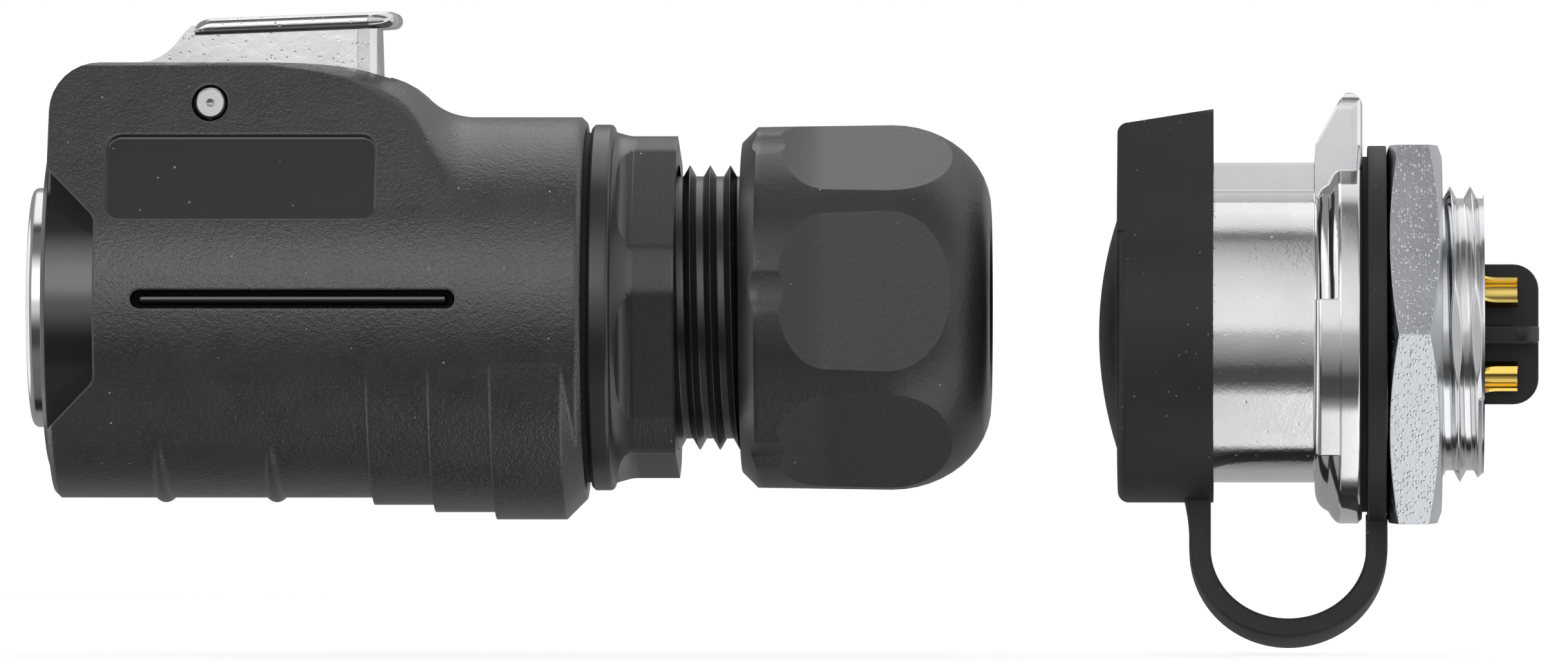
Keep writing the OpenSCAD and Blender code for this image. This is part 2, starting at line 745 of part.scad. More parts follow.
module gland_nut() color("#323234") at_plug() {
    lead = 1.15;
    waist = 0.15;
    front_r = gland_nut_r - waist;
    end_wall = 0.6;
    end_r = cable_hole_r + end_wall;
    dome_share = 0.4;
    dome_len = dome_share * gland_nut_len;
    dome_x = nut_end_x - dome_len;
    dome_steps = 12;
    flat_share = 0.35;
    flat_x = nut_x + flat_share * gland_nut_len;
    flat_r = gland_nut_r - grip_depth;
    grip_turn = 5.6;
    run_out_r = 5.8;
    groove_r = 5;
    groove_depth = 0.3;
    mouth = 0.4;
    difference() {
        turned(concat([[nut_x, 0], [nut_x, front_r - lead], [nut_x + lead, front_r]],
            [for (i = [0:dome_steps]) let (a = 90 * i / dome_steps)
                [dome_x + dome_len * sin(a), end_r + (gland_nut_r - end_r) * cos(a)]],
            [[nut_end_x, 0]]));
        ring_flats(grip_n, grip_turn, flat_r, flat_x, nut_end_x + over, run_out_r, gland_nut_r);
        for (i = [0:grip_n - 1]) rotate([90 - grip_turn + i * 360 / grip_n, 0, 0])
            translate([0, 0, front_r - groove_depth + groove_r]) rod(nut_x - over, flat_x, groove_r);
        rod(nut_x - over, nut_bore_end_x, gland_bore_r);
        rod(nut_x - over, nut_shoulder_x, cage_flange_r + free_clear);
        turned([[nut_x, 0], [nut_x, cable_hole_r], [nut_end_x - mouth, cable_hole_r],
            [nut_end_x + over, cable_hole_r + mouth + over], [nut_end_x + over, 0]]);
    }
}

// Socket

module horn() {
    tip = 1;
    tip_angle = 115;
    edge = 1.2;
    rear_edge = 0.8;
    foot = 0.1;
    base_z = socket_bore_r + over;
    side = horn_w / 2 - rear_edge;
    intersection() {
        across_y(horn_w) polygon(concat([[0, base_z]], arc([-tip, horn_h - tip], tip, 0, tip_angle),
            [[flange_front_x + foot, flange_r + foot], [flange_front_x, collar_r],
            [flange_front_x, base_z]]));
        translate([0, 0, horn_h / 2]) along_x(2 * flange_front_x, over)
            polygon(round_rect(horn_w, horn_h, edge));
        linear_extrude(2 * horn_h) polygon(concat([[2 * flange_front_x, -horn_w / 2]],
            arc([-rear_edge, -side], rear_edge, 270, 360), arc([-rear_edge, side], rear_edge, 0, 90),
            [[2 * flange_front_x, horn_w / 2]]));
    }
}

// Collar on the flange's front, and the raised pad on each side of it
collar_step = 1.3;
collar_r = flange_r - collar_step;

module flange_pad() {
    low_turn = -39.5;
    high_turn = 10.7;
    edge = 0.45;
    pad_r = flange_r - touch;
    profile = concat([[barrel_r - edge, flange_front_x]],
        [for (p = arc([flange_front_x + edge, pad_r - edge], edge, 180, 90)) [p[1], p[0]]],
        [[pad_r, -flange_t / 2], [barrel_r - edge, -flange_t / 2]]);
    rotate([0, 90, 0]) rotate([0, 0, 90 + low_turn]) rotate_extrude(angle = high_turn - low_turn)
        polygon(profile);
}

module flange_body() {
    rim = 0.3;
    shoulder = 0.4;
    bend_x = -flange_t - flange_collar_t / 3;
    front = [flange_front_x, barrel_r + shoulder];
    middle = [bend_x, collar_r + shoulder];
    turned(concat([[barrel_front_x, 0], [barrel_front_x, barrel_r - rim],
        [barrel_front_x + rim, barrel_r], [flange_front_x, barrel_r]],
        bend(front, [flange_front_x, collar_r], middle, 5),
        bend(middle, [-flange_t, flange_r], [shoulder - flange_t, flange_r], 5),
        [[-rim, flange_r], [0, flange_r - rim], [0, 0]]));
    both_sides() flange_pad();
}

module key_rib() {
    inset = 0.8;
    catch_reach = 8.4;
    catch_x = flange_front_x - catch_reach;
    catch_w = 1.6;
    catch_depth = 0.8;
    difference() {
        translate([barrel_front_x + inset, -key_w / 2, 0]) cube([barrel_len, key_w, key_top]);
        translate([catch_x - catch_w / 2, -key_w, key_top - catch_depth]) cube([catch_w, 2 * key_w, key_h]);
    }
}

module socket_shell() color("#d3d5d9") difference() {
    thread_chamfer = 0.6;
    thread_end = panel_thread_len - thread_chamfer;
    union() {
        flange_body();
        rod(-flange_t, thread_end, panel_thread_r);
        translate([thread_end, 0, 0]) rotate([0, 90, 0])
            cylinder(h = thread_chamfer, r1 = panel_thread_r, r2 = panel_thread_r - thread_chamfer);
        key_rib();
        horn();
    }
    rod(barrel_front_x - over, lip_x, socket_bore_r);
    rod(barrel_front_x - over, panel_thread_len, lip_r);
    rod(insert_step_x, panel_thread_len + over, tail_bore_r);
    both_sides() translate([panel_seal_t, thread_flat, -panel_thread_r])
        cube([panel_thread_len, panel_thread_r, 2 * panel_thread_r]);
}

module interface_seal() color("#8a2f22") difference() {
    rod(interface_x, lip_x, socket_bore_r - seat_clear);
    rod(interface_x - over, lip_x + over, lip_r);
}

module socket_insert() color("#161617") difference() {
    end_x = panel_thread_len + partition_reach;
    root_x = insert_rear_x - over / 2;
    corner = 1.9;
    union() {
        rod(interface_x, insert_rear_x, lip_r - seat_clear);
        rod(insert_step_x, insert_rear_x, tail_bore_r - seat_clear);
        for (i = [0:contact_n - 1]) rotate([i * 360 / contact_n, 0, 0]) across_y(partition_t)
            polygon(concat([[root_x, 0], [end_x, 0]],
                arc([end_x - corner, partition_r - corner], corner, 0, 90), [[root_x, partition_r]]));
    }
    on_contacts() rod(interface_x - over, insert_rear_x + over, contact_r + seat_clear);
}

module socket_contacts() color("#d0a545") on_contacts() difference() {
    tip = 0.5;
    tip_r = contact_pin_d / 2;
    body_x = interface_x + over / 2;
    union() {
        turned([[pin_tip_x, 0], [pin_tip_x, tip_r - tip], [pin_tip_x + tip, tip_r],
            [interface_x + over, tip_r], [interface_x + over, 0]]);
        rod(body_x, cup_end_x, contact_r);
    }
    cup_cut(cup_end_x);
}

module panel_seal() color("#0f0f10") difference() {
    inset = 0.85;
    rod(0, panel_seal_t, flange_r - inset);
    rod(-over, panel_seal_t + over, panel_thread_r + seat_clear);
}

module strap_ring() color("#222223") difference() {
    rod(strap_ring_x, strap_ring_end_x, strap_ring_r);
    rod(strap_ring_x - over, strap_ring_end_x + over, panel_thread_r + seat_clear);
}

module panel_nut() color("#b4bac2") {
    flat_r = panel_nut_af / 2;
    corner_r = flat_r / cos(30);
    front_step = 0.5;
    front_chamfer = 0.8;
    rear_step = 0.8;
    rear_chamfer = 1;
    rear_edge = 0.3;
    edge_r = corner_r + touch;
    end_x = panel_nut_x + panel_nut_t;
    difference() {
        intersection() {
            turned(concat([[panel_nut_x, 0], [panel_nut_x, flat_r - front_step],
                [panel_nut_x + front_chamfer, edge_r]],
                bend([end_x - rear_chamfer, edge_r], [end_x - rear_edge, flat_r],
                    [end_x, flat_r - rear_step], 6),
                [[end_x, 0]]));
            rotate([30, 0, 0]) translate([panel_nut_x - over, 0, 0]) rotate([0, 90, 0])
                cylinder(h = panel_nut_t + 2 * over, r = corner_r, $fn = 6);
        }
        rod(panel_nut_x - over, end_x + over, panel_thread_r + run_clear);
    }
}

// Dust cap and strap

module cap_tab() {
    edge = 0.8;
    top = cap_r + cap_tab_rise;
    fall = 1;
    front_top = [cap_front_x + edge, top - fall];
    intersection() {
        along_x(cap_front_x, cap_rear_x) polygon(hump_section(cap_r, cap_tab_tilt, top, edge));
        across_y(4 * cap_r) polygon(concat([[cap_front_x, 0]],
            arc(front_top - [0, edge], edge, 180, 90),
            [[cap_rear_x, top + touch], [cap_rear_x, 0]]));
    }
}

// Root of the strap, that flares into the cap
module strap_root() {
    flare = 0.9;
    sink_z = -cap_r + strap_root_h;
    x0 = strap_front_x - strap_t / 2;
    x1 = strap_front_x + strap_t / 2;
    across_y(strap_w) polygon(concat([[x0 - flare, sink_z]],
        bend([x0 - flare, -cap_r + strap_root_h / 2], [x0, -cap_r + strap_root_h / 2], [x0, strap_root_z]),
        [[x1, strap_root_z], [x1, sink_z]]));
}

module dust_cap() color("#2a2a2b") {
    edge = 0.8;
    dome_r = cap_dome_d / 2;
    ball_r = (dome_r * dome_r + cap_dome_h * cap_dome_h) / (2 * cap_dome_h);
    dome_angle = asin(dome_r / ball_r);
    difference() {
        union() {
            turned(concat(arc([cap_front_x - cap_dome_h + ball_r, 0], ball_r, 180, 180 - dome_angle),
                arc([cap_front_x + edge, cap_r - edge], edge, 180, 90),
                [[cap_rear_x, cap_r], [cap_rear_x, 0]]));
            cap_tab();
            strap_root();
        }
        rod(cap_inner_x, cap_rear_x + over, cap_bore_r);
        translate([cap_inner_x, -key_slot_w / 2, 0]) cube([cap_len + over, key_slot_w, key_slot_top]);
    }
}

module cap_strap() color("#262627") difference() {
    sink = 0.3;
    half = strap_t / 2;
    across_y(strap_w) {
        translate([strap_front_x + strap_bend_r, strap_bend_z]) difference() {
            circle(strap_bend_r + half);
            circle(strap_bend_r - half);
            translate([-2 * strap_bend_r, 0]) square([4 * strap_bend_r, 2 * strap_bend_r]);
        }
        translate([strap_front_x - half, strap_bend_z]) square([strap_t, strap_drop - seat_clear / 2]);
        translate([strap_rear_x - half, strap_bend_z]) square([strap_t, sink - strap_bend_z - strap_ring_r]);
    }
    rod(-over, strap_ring_end_x + over, strap_ring_r + seat_clear / 2);
}

plug_shell();
front_liner();
mating_sleeve();
plug_insert();
plug_contacts();
latch_lever();
latch_pin();
latch_spring();
shell_gasket();
back_shell();
clamp_cage();
cable_seal();
gland_nut();
socket_shell();
interface_seal();
socket_insert();
socket_contacts();
panel_seal();
strap_ring();
panel_nut();
dust_cap();
cap_strap();
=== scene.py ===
import json
import math

import bmesh
import bpy
from mathutils import Matrix, Vector

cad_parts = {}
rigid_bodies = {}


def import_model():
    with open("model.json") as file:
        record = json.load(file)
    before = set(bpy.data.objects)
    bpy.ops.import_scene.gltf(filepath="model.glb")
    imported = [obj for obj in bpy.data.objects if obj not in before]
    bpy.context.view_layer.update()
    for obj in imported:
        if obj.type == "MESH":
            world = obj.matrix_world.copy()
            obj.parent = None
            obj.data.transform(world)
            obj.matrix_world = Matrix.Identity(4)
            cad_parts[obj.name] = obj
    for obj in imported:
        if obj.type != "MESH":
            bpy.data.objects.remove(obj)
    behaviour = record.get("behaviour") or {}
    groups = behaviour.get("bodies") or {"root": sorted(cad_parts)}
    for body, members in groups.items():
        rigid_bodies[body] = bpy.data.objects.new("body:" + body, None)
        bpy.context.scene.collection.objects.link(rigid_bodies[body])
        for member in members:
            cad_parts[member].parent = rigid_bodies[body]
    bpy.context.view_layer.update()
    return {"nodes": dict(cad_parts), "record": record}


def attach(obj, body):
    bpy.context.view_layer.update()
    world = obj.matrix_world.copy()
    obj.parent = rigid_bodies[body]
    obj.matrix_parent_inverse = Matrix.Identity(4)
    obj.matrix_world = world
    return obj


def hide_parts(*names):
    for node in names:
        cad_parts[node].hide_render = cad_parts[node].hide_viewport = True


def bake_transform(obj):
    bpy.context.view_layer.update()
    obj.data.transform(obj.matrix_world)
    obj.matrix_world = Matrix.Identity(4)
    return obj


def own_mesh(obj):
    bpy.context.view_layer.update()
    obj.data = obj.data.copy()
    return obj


for leftover in list(bpy.data.objects):
    bpy.data.objects.remove(leftover)
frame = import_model()
scene = bpy.context.scene
mm = 0.001
plugX = -97 * mm  # the plug's front plane
plugZ = 2 * mm  # the plug's axis
bodies = frame["record"]["behaviour"]["bodies"]
bodyOfNode = {node: body for body, nodes in bodies.items() for node in nodes}
slotOfNode = {part["node"]: part["material_slot"] for part in frame["record"]["subparts"]}
print("stage: frame loaded,", len(frame["nodes"]), "nodes")


# Node helpers, for materials and Geometry Nodes

mixSockets = {"FLOAT": (2, 3, 0), "RGBA": (6, 7, 2)}  # a Mix node's two sides and its result


def isSocket(value):
    return isinstance(value, bpy.types.NodeSocket)


def addNode(tree, kind, feeds=None, **attrs):
    made = tree.nodes.new(kind)
    for key, value in attrs.items():
        setattr(made, key, value)
    for key, value in (feeds or {}).items():
        if isSocket(value):
            tree.links.new(value, made.inputs[key])
        else:
            made.inputs[key].default_value = value
    return made


def calc(tree, operation, *values, clamp=False):
    feeds = dict(enumerate(values))
    return addNode(tree, "ShaderNodeMath", feeds, operation=operation, use_clamp=clamp).outputs[0]


def times(tree, *values):
    product = values[0]
    for value in values[1:]:
        product = calc(tree, "MULTIPLY", product, value)
    return product


def step(tree, value, low, high):
    feeds = {"Value": value, "From Min": low, "From Max": high}
    return addNode(tree, "ShaderNodeMapRange", feeds, interpolation_type="SMOOTHSTEP").outputs[0]


def inside(tree, value, low, high, soft):
    up = step(tree, value, low - soft, low + soft)
    return times(tree, up, step(tree, value, high + soft, high - soft))


def blendOf(tree, kind, mask, below, above):
    low, high, result = mixSockets[kind]
    return addNode(tree, "ShaderNodeMix", {0: mask, low: below, high: above}, data_type=kind).outputs[result]


def blendValue(tree, mask, below, above):
    return blendOf(tree, "FLOAT", mask, below, above)


def blendColor(tree, mask, *colors):
    whole = [color if isSocket(color) else (*color, 1) for color in colors]
    return blendOf(tree, "RGBA", mask, *whole)


def noiseAt(tree, vector, scale, detail=2.0, output=0):
    feeds = {"Vector": vector, "Scale": scale, "Detail": detail}
    return addNode(tree, "ShaderNodeTexNoise", feeds).outputs[output]


# Distance to the middle of a cell, and two chance values of that cell
def cellsAt(tree, vector, scale):
    cells = addNode(tree, "ShaderNodeTexVoronoi", {"Vector": vector, "Scale": scale}).outputs
    picked = addNode(tree, "ShaderNodeSeparateColor", {"Color": cells["Color"]}).outputs
    return cells["Distance"], picked[0], picked[1]


# Shader groups: grain, dust specks and casting pits; a noise has its share of the scale and its detail

def newGroup(name, inputs, outputs):
    group = bpy.data.node_groups.new(name, "ShaderNodeTree")
    group.interface.new_socket("Vector", in_out="INPUT", socket_type="NodeSocketVector")
    for way, labels in (("INPUT", inputs), ("OUTPUT", outputs)):
        for label in labels:
            group.interface.new_socket(label, in_out=way, socket_type="NodeSocketFloat")
    return group, group.nodes.new("NodeGroupInput").outputs, group.nodes.new("NodeGroupOutput").inputs


def groupNoise(group, ins, share, detail, output=0):
    return noiseAt(group, ins["Vector"], times(group, ins["Scale"], share), detail, output)


grainNoise = dict(fine=(1.0, 2.0), coarse=(0.42, 1.0), patch=(0.06, 3.0))
grainHeight = dict(fine=0.7, coarse=0.6)


def grainField():
    group, ins, outs = newGroup("grainField", ["Scale"], ["Height", "Patch"])
    noise = {name: groupNoise(group, ins, *sizes) for name, sizes in grainNoise.items()}
    heights = [times(group, noise[name], share) for name, share in grainHeight.items()]
    group.links.new(calc(group, "ADD", *heights), outs["Height"])
    group.links.new(noise["patch"], outs["Patch"])
    return group


speckSize = dict(least=0.4, spread=0.8)


def dustField():
    group, ins, outs = newGroup("dustField", ["Scale", "Amount", "Size"], ["Mask"])
    distance, pick, large = cellsAt(group, ins["Vector"], ins["Scale"])
    chosen = calc(group, "LESS_THAN", pick, ins["Amount"])
    share = calc(group, "MULTIPLY_ADD", large, speckSize["spread"], speckSize["least"])
    near = calc(group, "LESS_THAN", distance, times(group, ins["Size"], share))
    group.links.new(times(group, chosen, near), outs["Mask"])
    return group


pitShape = dict(warp=(1.7, 2.0), shift=0.3 * mm, wall=(0.34, 0.08), ripple=(0.35, 4.0), rippleHeight=0.5)


def pitField():
    group, ins, outs = newGroup("pitField", ["Scale", "Amount"], ["Height"])
    warp = groupNoise(group, ins, *pitShape["warp"], output="Color")
    feeds = {0: warp, "Scale": pitShape["shift"]}
    bent = addNode(group, "ShaderNodeVectorMath", feeds, operation="SCALE").outputs[0]
    moved = addNode(group, "ShaderNodeVectorMath", {0: ins["Vector"], 1: bent}, operation="ADD").outputs[0]
    distance, pick, deep = cellsAt(group, moved, ins["Scale"])
    chosen = calc(group, "LESS_THAN", pick, ins["Amount"])
    depth = times(group, chosen, step(group, distance, *pitShape["wall"]), deep)
    ripple = times(group, groupNoise(group, ins, *pitShape["ripple"]), pitShape["rippleHeight"])
    group.links.new(calc(group, "SUBTRACT", ripple, depth), outs["Height"])
    return group


grainGroup = grainField()
dustGroup = dustField()
pitGroup = pitField()


# Materials

materials = {}
patchEdges = dict(color=(0.3, 0.7), rough=(0.25, 0.75))
dustRough = 0.8
roundSamples = 8


def useGroup(tree, group, place, **sizes):
    return addNode(tree, "ShaderNodeGroup", {"Vector": place, **sizes}, node_tree=group).outputs


def startMaterial(name, look):
    mat = bpy.data.materials.new(name)
    mat.use_nodes = True
    materials[name] = mat
    tree = mat.node_tree
    shader = tree.nodes["Principled BSDF"]
    shader.inputs["Metallic"].default_value = look.get("metal", 0.0)
    shader.inputs["IOR"].default_value = look.get("ior", 1.5)
    place = addNode(tree, "ShaderNodeTexCoord").outputs["Object"]
    specks = {label: look["dust"][label] for label in ("Scale", "Amount", "Size")}
    return dict(tree=tree, shader=shader, look=look, place=place,
                grain=useGroup(tree, grainGroup, place, Scale=look["grainScale"]),
                dust=useGroup(tree, dustGroup, place, **specks)["Mask"])


def patchLook(made):
    tree = made["tree"]
    look = made["look"]
    patch = made["grain"]["Patch"]
    color = blendColor(tree, step(tree, patch, *patchEdges["color"]), look["dark"], look["light"])
    return color, blendValue(tree, step(tree, patch, *patchEdges["rough"]), *look["rough"])


def pitHeight(made):
    sizes = dict(Scale=made["look"]["pitScale"], Amount=made["look"]["pitAmount"])
    return useGroup(made["tree"], pitGroup, made["place"], **sizes)["Height"]


def bumpOn(tree, normal, height, strength, distance):
    feeds = {"Height": height, "Strength": strength, "Distance": distance}
    if normal is not None:
        feeds["Normal"] = normal
    return addNode(tree, "ShaderNodeBump", feeds).outputs[0]


def endMaterial(made, color, rough, height, bump, pits=None, edge=None):
    tree = made["tree"]
    look = made["look"]
    color = blendColor(tree, made["dust"], color, look["dust"]["color"])
    rough = blendValue(tree, made["dust"], rough, dustRough)
    normal = None
    if edge is not None:
        normal = addNode(tree, "ShaderNodeBevel", {"Radius": edge}, samples=roundSamples).outputs[0]
    if pits is not None:
        normal = bumpOn(tree, normal, *pits, look["pitDepth"])
    normal = bumpOn(tree, normal, height, bump, look["grainDepth"])
    for label, value in (("Base Color", color), ("Roughness", rough), ("Normal", normal)):
        tree.links.new(value, made["shader"].inputs[label])


# Finishes that are the same all over
dustLook = dict(Scale=900.0, Amount=0.28, Size=0.07, color=(0.42, 0.42, 0.42))
fewSpecks = dict(Scale=520.0, Amount=0.03, Size=0.06, color=(0.4, 0.4, 0.4))
metalSpecks = dict(Scale=1100.0, Amount=0.006, Size=0.05, color=(0.3, 0.3, 0.3))
rubberDust = dict(Scale=1300.0, Amount=0.6, Size=0.08, color=(0.27, 0.265, 0.26))
plainLooks = dict(
    liner_plastic=dict(dark=(0.010, 0.010, 0.0105), light=(0.014, 0.014, 0.0145), rough=(0.13, 0.19), ior=1.9,
                       grainScale=1500.0, grainDepth=0.01 * mm, bump=0.12, dust=fewSpecks),
    insulator=dict(dark=(0.010, 0.010, 0.010), light=(0.015, 0.015, 0.0152), rough=(0.26, 0.34),
                   grainScale=2200.0, grainDepth=0.02 * mm, bump=0.2, dust=fewSpecks),
    sleeve_metal=dict(dark=(0.70, 0.71, 0.72), light=(0.78, 0.79, 0.80), rough=(0.12, 0.2), metal=1.0,
                      grainScale=1400.0, grainDepth=0.01 * mm, bump=0.15, dust=fewSpecks),
    latch_metal=dict(dark=(0.66, 0.67, 0.68), light=(0.76, 0.77, 0.78), rough=(0.06, 0.11), metal=1.0,
                     grainScale=2600.0, grainDepth=0.02 * mm, bump=0.25, dust=metalSpecks,
                     pitScale=2800.0, pitAmount=0.35, pitBump=0.6, pitDepth=0.05 * mm),
    pin_steel=dict(dark=(0.66, 0.65, 0.64), light=(0.75, 0.74, 0.73), rough=(0.3, 0.42), metal=1.0,
                   grainScale=5000.0, grainDepth=0.01 * mm, bump=0.3, dust=fewSpecks),
    spring_steel=dict(dark=(0.40, 0.41, 0.43), light=(0.50, 0.51, 0.53), rough=(0.25, 0.35), metal=1.0,
                      grainScale=4000.0, grainDepth=0.01 * mm, bump=0.2, dust=fewSpecks),
    contact_gold=dict(dark=(0.88, 0.58, 0.11), light=(0.97, 0.72, 0.21), rough=(0.10, 0.18), metal=1.0,
                      grainScale=2600.0, grainDepth=0.01 * mm, bump=0.2, dust=fewSpecks),
    cap_rubber=dict(dark=(0.021, 0.021, 0.0212), light=(0.027, 0.027, 0.0273), rough=(0.48, 0.58),
                    grainScale=2400.0, grainDepth=0.02 * mm, bump=0.25, dust=rubberDust),
    seal_rubber=dict(dark=(0.007, 0.007, 0.0072), light=(0.011, 0.011, 0.0112), rough=(0.6, 0.7),
                     grainScale=2200.0, grainDepth=0.02 * mm, bump=0.25, dust=fewSpecks))


def plainFinish(name, look):
    made = startMaterial(name, look)
    color, rough = patchLook(made)
    pits = (pitHeight(made), look["pitBump"]) if "pitScale" in look else None
    endMaterial(made, color, rough, made["grain"]["Height"], look["bump"], pits)


for name, look in plainLooks.items():
    plainFinish(name, look)


# Finishes that change over the piece: where they do is in mm, along the axes or from them

plugOrigin = (plugX, 0.0, plugZ)
hexTurn = math.radians(60)  # from one flat of a hexagon to the next


def placeInMm(made, origin=(0.0, 0.0, 0.0)):
    tree = made["tree"]
    axes = addNode(tree, "ShaderNodeSeparateXYZ", {0: made["place"]}).outputs
    return [calc(tree, "DIVIDE", calc(tree, "SUBTRACT", axes[label], start), mm)
            for label, start in zip("XYZ", origin)]


def fromAxis(tree, y, z):
    return calc(tree, "SQRT", calc(tree, "ADD", times(tree, y, y), times(tree, z, z)))


# Height above the axis, square to the nearest flat of a hexagon
def flatReach(tree, y, z, turn):
    ahead = 12 * hexTurn - math.radians(turn)  # two turns on, which keeps the angle positive
    angle = calc(tree, "ADD", calc(tree, "ARCTAN2", z, y), ahead)
    folded = calc(tree, "PINGPONG", angle, hexTurn / 2)
    return times(tree, fromAxis(tree, y, z), calc(tree, "COSINE", folded))


# Socket: bright plating, over a casting skin on the barrel and almost smooth elsewhere
chromeLook = dict(dark=(0.80, 0.805, 0.815), light=(0.86, 0.865, 0.875), rough=(0.06, 0.11), metal=1.0,
                  grainScale=5000.0, grainDepth=0.02 * mm, bump=0.3, dust=metalSpecks,
                  pitScale=2600.0, pitAmount=0.12, pitBump=0.3, pitDepth=0.03 * mm, round=0.2 * mm,
                  skinRadius=(11.06, 11.03), skinEnd=(-3.5, -3.7), calm=0.15)


def chromeFinish(look):
    made = startMaterial("socket_chrome", look)
    tree = made["tree"]
    x, y, z = placeInMm(made)
    skin = times(tree, step(tree, fromAxis(tree, y, z), *look["skinRadius"]), step(tree, x, *look["skinEnd"]))
    share = blendValue(tree, skin, look["calm"], 1.0)
    color, rough = patchLook(made)
    pits = (pitHeight(made), times(tree, share, look["pitBump"]))
    bump = times(tree, share, look["bump"])
    endMaterial(made, color, rough, made["grain"]["Height"], bump, pits, edge=look["round"])


# Shell: grained, but for the label's floor, the groove and the bore, and shaded softer behind the hump; the
# groove and the bore are painted darker than the shell, as painted shade in these hollows
shellLook = dict(dark=(0.022, 0.022, 0.0225), light=(0.028, 0.028, 0.0285), rough=(0.26, 0.33), ior=1.95,
                 grainScale=6800.0, grainDepth=0.07 * mm, bump=0.8, dust=dustLook, round=0.3 * mm,
                 bareShadeColor=(0.006, 0.006, 0.0063), bareBump=0.02, bore=(12.9, 12.6))
shellLabel = dict(x=(4.4, 24.3), up=(-0.2, 7.0), out=(13.78, 13.73), soft=0.02, tilt=math.radians(28),
                  color=(0.020, 0.020, 0.0206), rough=0.22)
# The groove's colour is painted shade: its floor and walls, less the bead, are near black and metallic
shellGroove = dict(x=(6.35, 30.35), softX=0.02, z=(-0.08, 1.28), softZ=0.03, mouth=(14.08, 14.0),
                   bottom=(13.0, 13.1), beadX=(7.1, 29.6), beadZ=(0.24, 0.96), beadSoft=0.02,
                   color=(0.004, 0.004, 0.0042), rough=0.14)
shellSaddle = dict(start=28.0, end=39.0, z=8.0, slant=0.6, soft=1.0, round=2.2 * mm)


def labelMask(tree, x, y, z, label):
    sine = math.sin(label["tilt"])
    cosine = math.cos(label["tilt"])
    out = calc(tree, "ADD", times(tree, y, cosine), times(tree, z, sine))
    up = calc(tree, "SUBTRACT", times(tree, z, cosine), times(tree, y, sine))
    return times(tree, inside(tree, x, *label["x"], label["soft"]),
                 inside(tree, up, *label["up"], label["soft"]), step(tree, out, *label["out"]))


def grooveMask(tree, x, y, z, groove):
    return times(tree, inside(tree, x, *groove["x"], groove["softX"]),
                 inside(tree, z, *groove["z"], groove["softZ"]),
                 step(tree, y, *groove["mouth"]), step(tree, y, *groove["bottom"]))


def beadMask(tree, x, z, groove):
    return times(tree, inside(tree, z, *groove["beadZ"], groove["beadSoft"]),
                 inside(tree, x, *groove["beadX"], groove["beadSoft"]))


def saddleMask(tree, x, z, saddle):
    soft = saddle["soft"]
    behind = calc(tree, "MULTIPLY_ADD", calc(tree, "SUBTRACT", z, saddle["z"]), saddle["slant"], x)
    return times(tree, step(tree, behind, saddle["start"] - soft, saddle["start"] + soft),
                 step(tree, x, saddle["end"] + soft, saddle["end"] - soft),
                 step(tree, z, saddle["z"] - soft, saddle["z"] + soft))


def shellFinish(look):
    made = startMaterial("shell_plastic", look)
    tree = made["tree"]
    x, side, z = placeInMm(made, plugOrigin)
    y = calc(tree, "ABSOLUTE", side)
    label = labelMask(tree, x, y, z, shellLabel)
    groove = grooveMask(tree, x, y, z, shellGroove)
    bore = step(tree, fromAxis(tree, y, z), *look["bore"])
    # The bore and the groove's bead are painted darker than the shell: painted shade in these hollows; all of
    # these are left without grain
    bareAndShaded = calc(tree, "MAXIMUM", calc(tree, "MAXIMUM", label, groove), bore)
    # The groove's floor and walls, less the bead, are painted near black and metallic: painted shade in the
    # groove
    paintedSlotShade = times(tree, groove, calc(tree, "SUBTRACT", 1.0, beadMask(tree, x, z, shellGroove)))
    tree.links.new(paintedSlotShade, made["shader"].inputs["Metallic"])
    color, rough = patchLook(made)
    color = blendColor(tree, bareAndShaded, color, look["bareShadeColor"])
    color = blendColor(tree, label, color, shellLabel["color"])
    color = blendColor(tree, paintedSlotShade, color, shellGroove["color"])
    rough = blendValue(tree, label, rough, shellLabel["rough"])
    rough = blendValue(tree, groove, rough, shellGroove["rough"])
    bump = blendValue(tree, bareAndShaded, look["bump"], look["bareBump"])
    edge = blendValue(tree, saddleMask(tree, x, z, shellSaddle), look["round"], shellSaddle["round"])
    endMaterial(made, color, rough, made["grain"]["Height"], bump, edge=edge)


# Gland: satin, with grained grip flats on the nut and drawn streaks on the collar's hexagon
glandLook = dict(dark=(0.014, 0.014, 0.0145), light=(0.018, 0.018, 0.0185), rough=(0.26, 0.34), ior=1.75,
                 grainScale=3600.0, grainDepth=0.04 * mm, bump=0.12, dust=dustLook,
                 flatColor=(0.019, 0.019, 0.0195), flatRough=0.42, flatBump=0.8)
gripFlats = dict(turn=5.6, height=12.18, x=57.51, runOut=5.8, edge=(0.08, 0.03), ends=(52.5, 69.0), soft=0.2)
collarFlats = dict(turn=42.5, height=(12.04, 12.01), ends=(43.3, 46.2), soft=0.1,
                   streakScale=5200.0, stretch=(1.0, 0.25, 0.25))


def gripMask(tree, x, y, z, flats):
    ahead = calc(tree, "MAXIMUM", calc(tree, "SUBTRACT", flats["x"], x), 0.0)
    ahead = calc(tree, "MINIMUM", ahead, flats["runOut"])
    drop = calc(tree, "SQRT", calc(tree, "SUBTRACT", flats["runOut"] ** 2, times(tree, ahead, ahead)))
    level = calc(tree, "SUBTRACT", flats["height"] + flats["runOut"], drop)
    above = calc(tree, "SUBTRACT", flatReach(tree, y, z, flats["turn"]), level)
    return times(tree, step(tree, above, *flats["edge"]), inside(tree, x, *flats["ends"], flats["soft"]))


def collarMask(tree, x, y, z, flats):
    return times(tree, step(tree, flatReach(tree, y, z, flats["turn"]), *flats["height"]),
                 inside(tree, x, *flats["ends"], flats["soft"]))


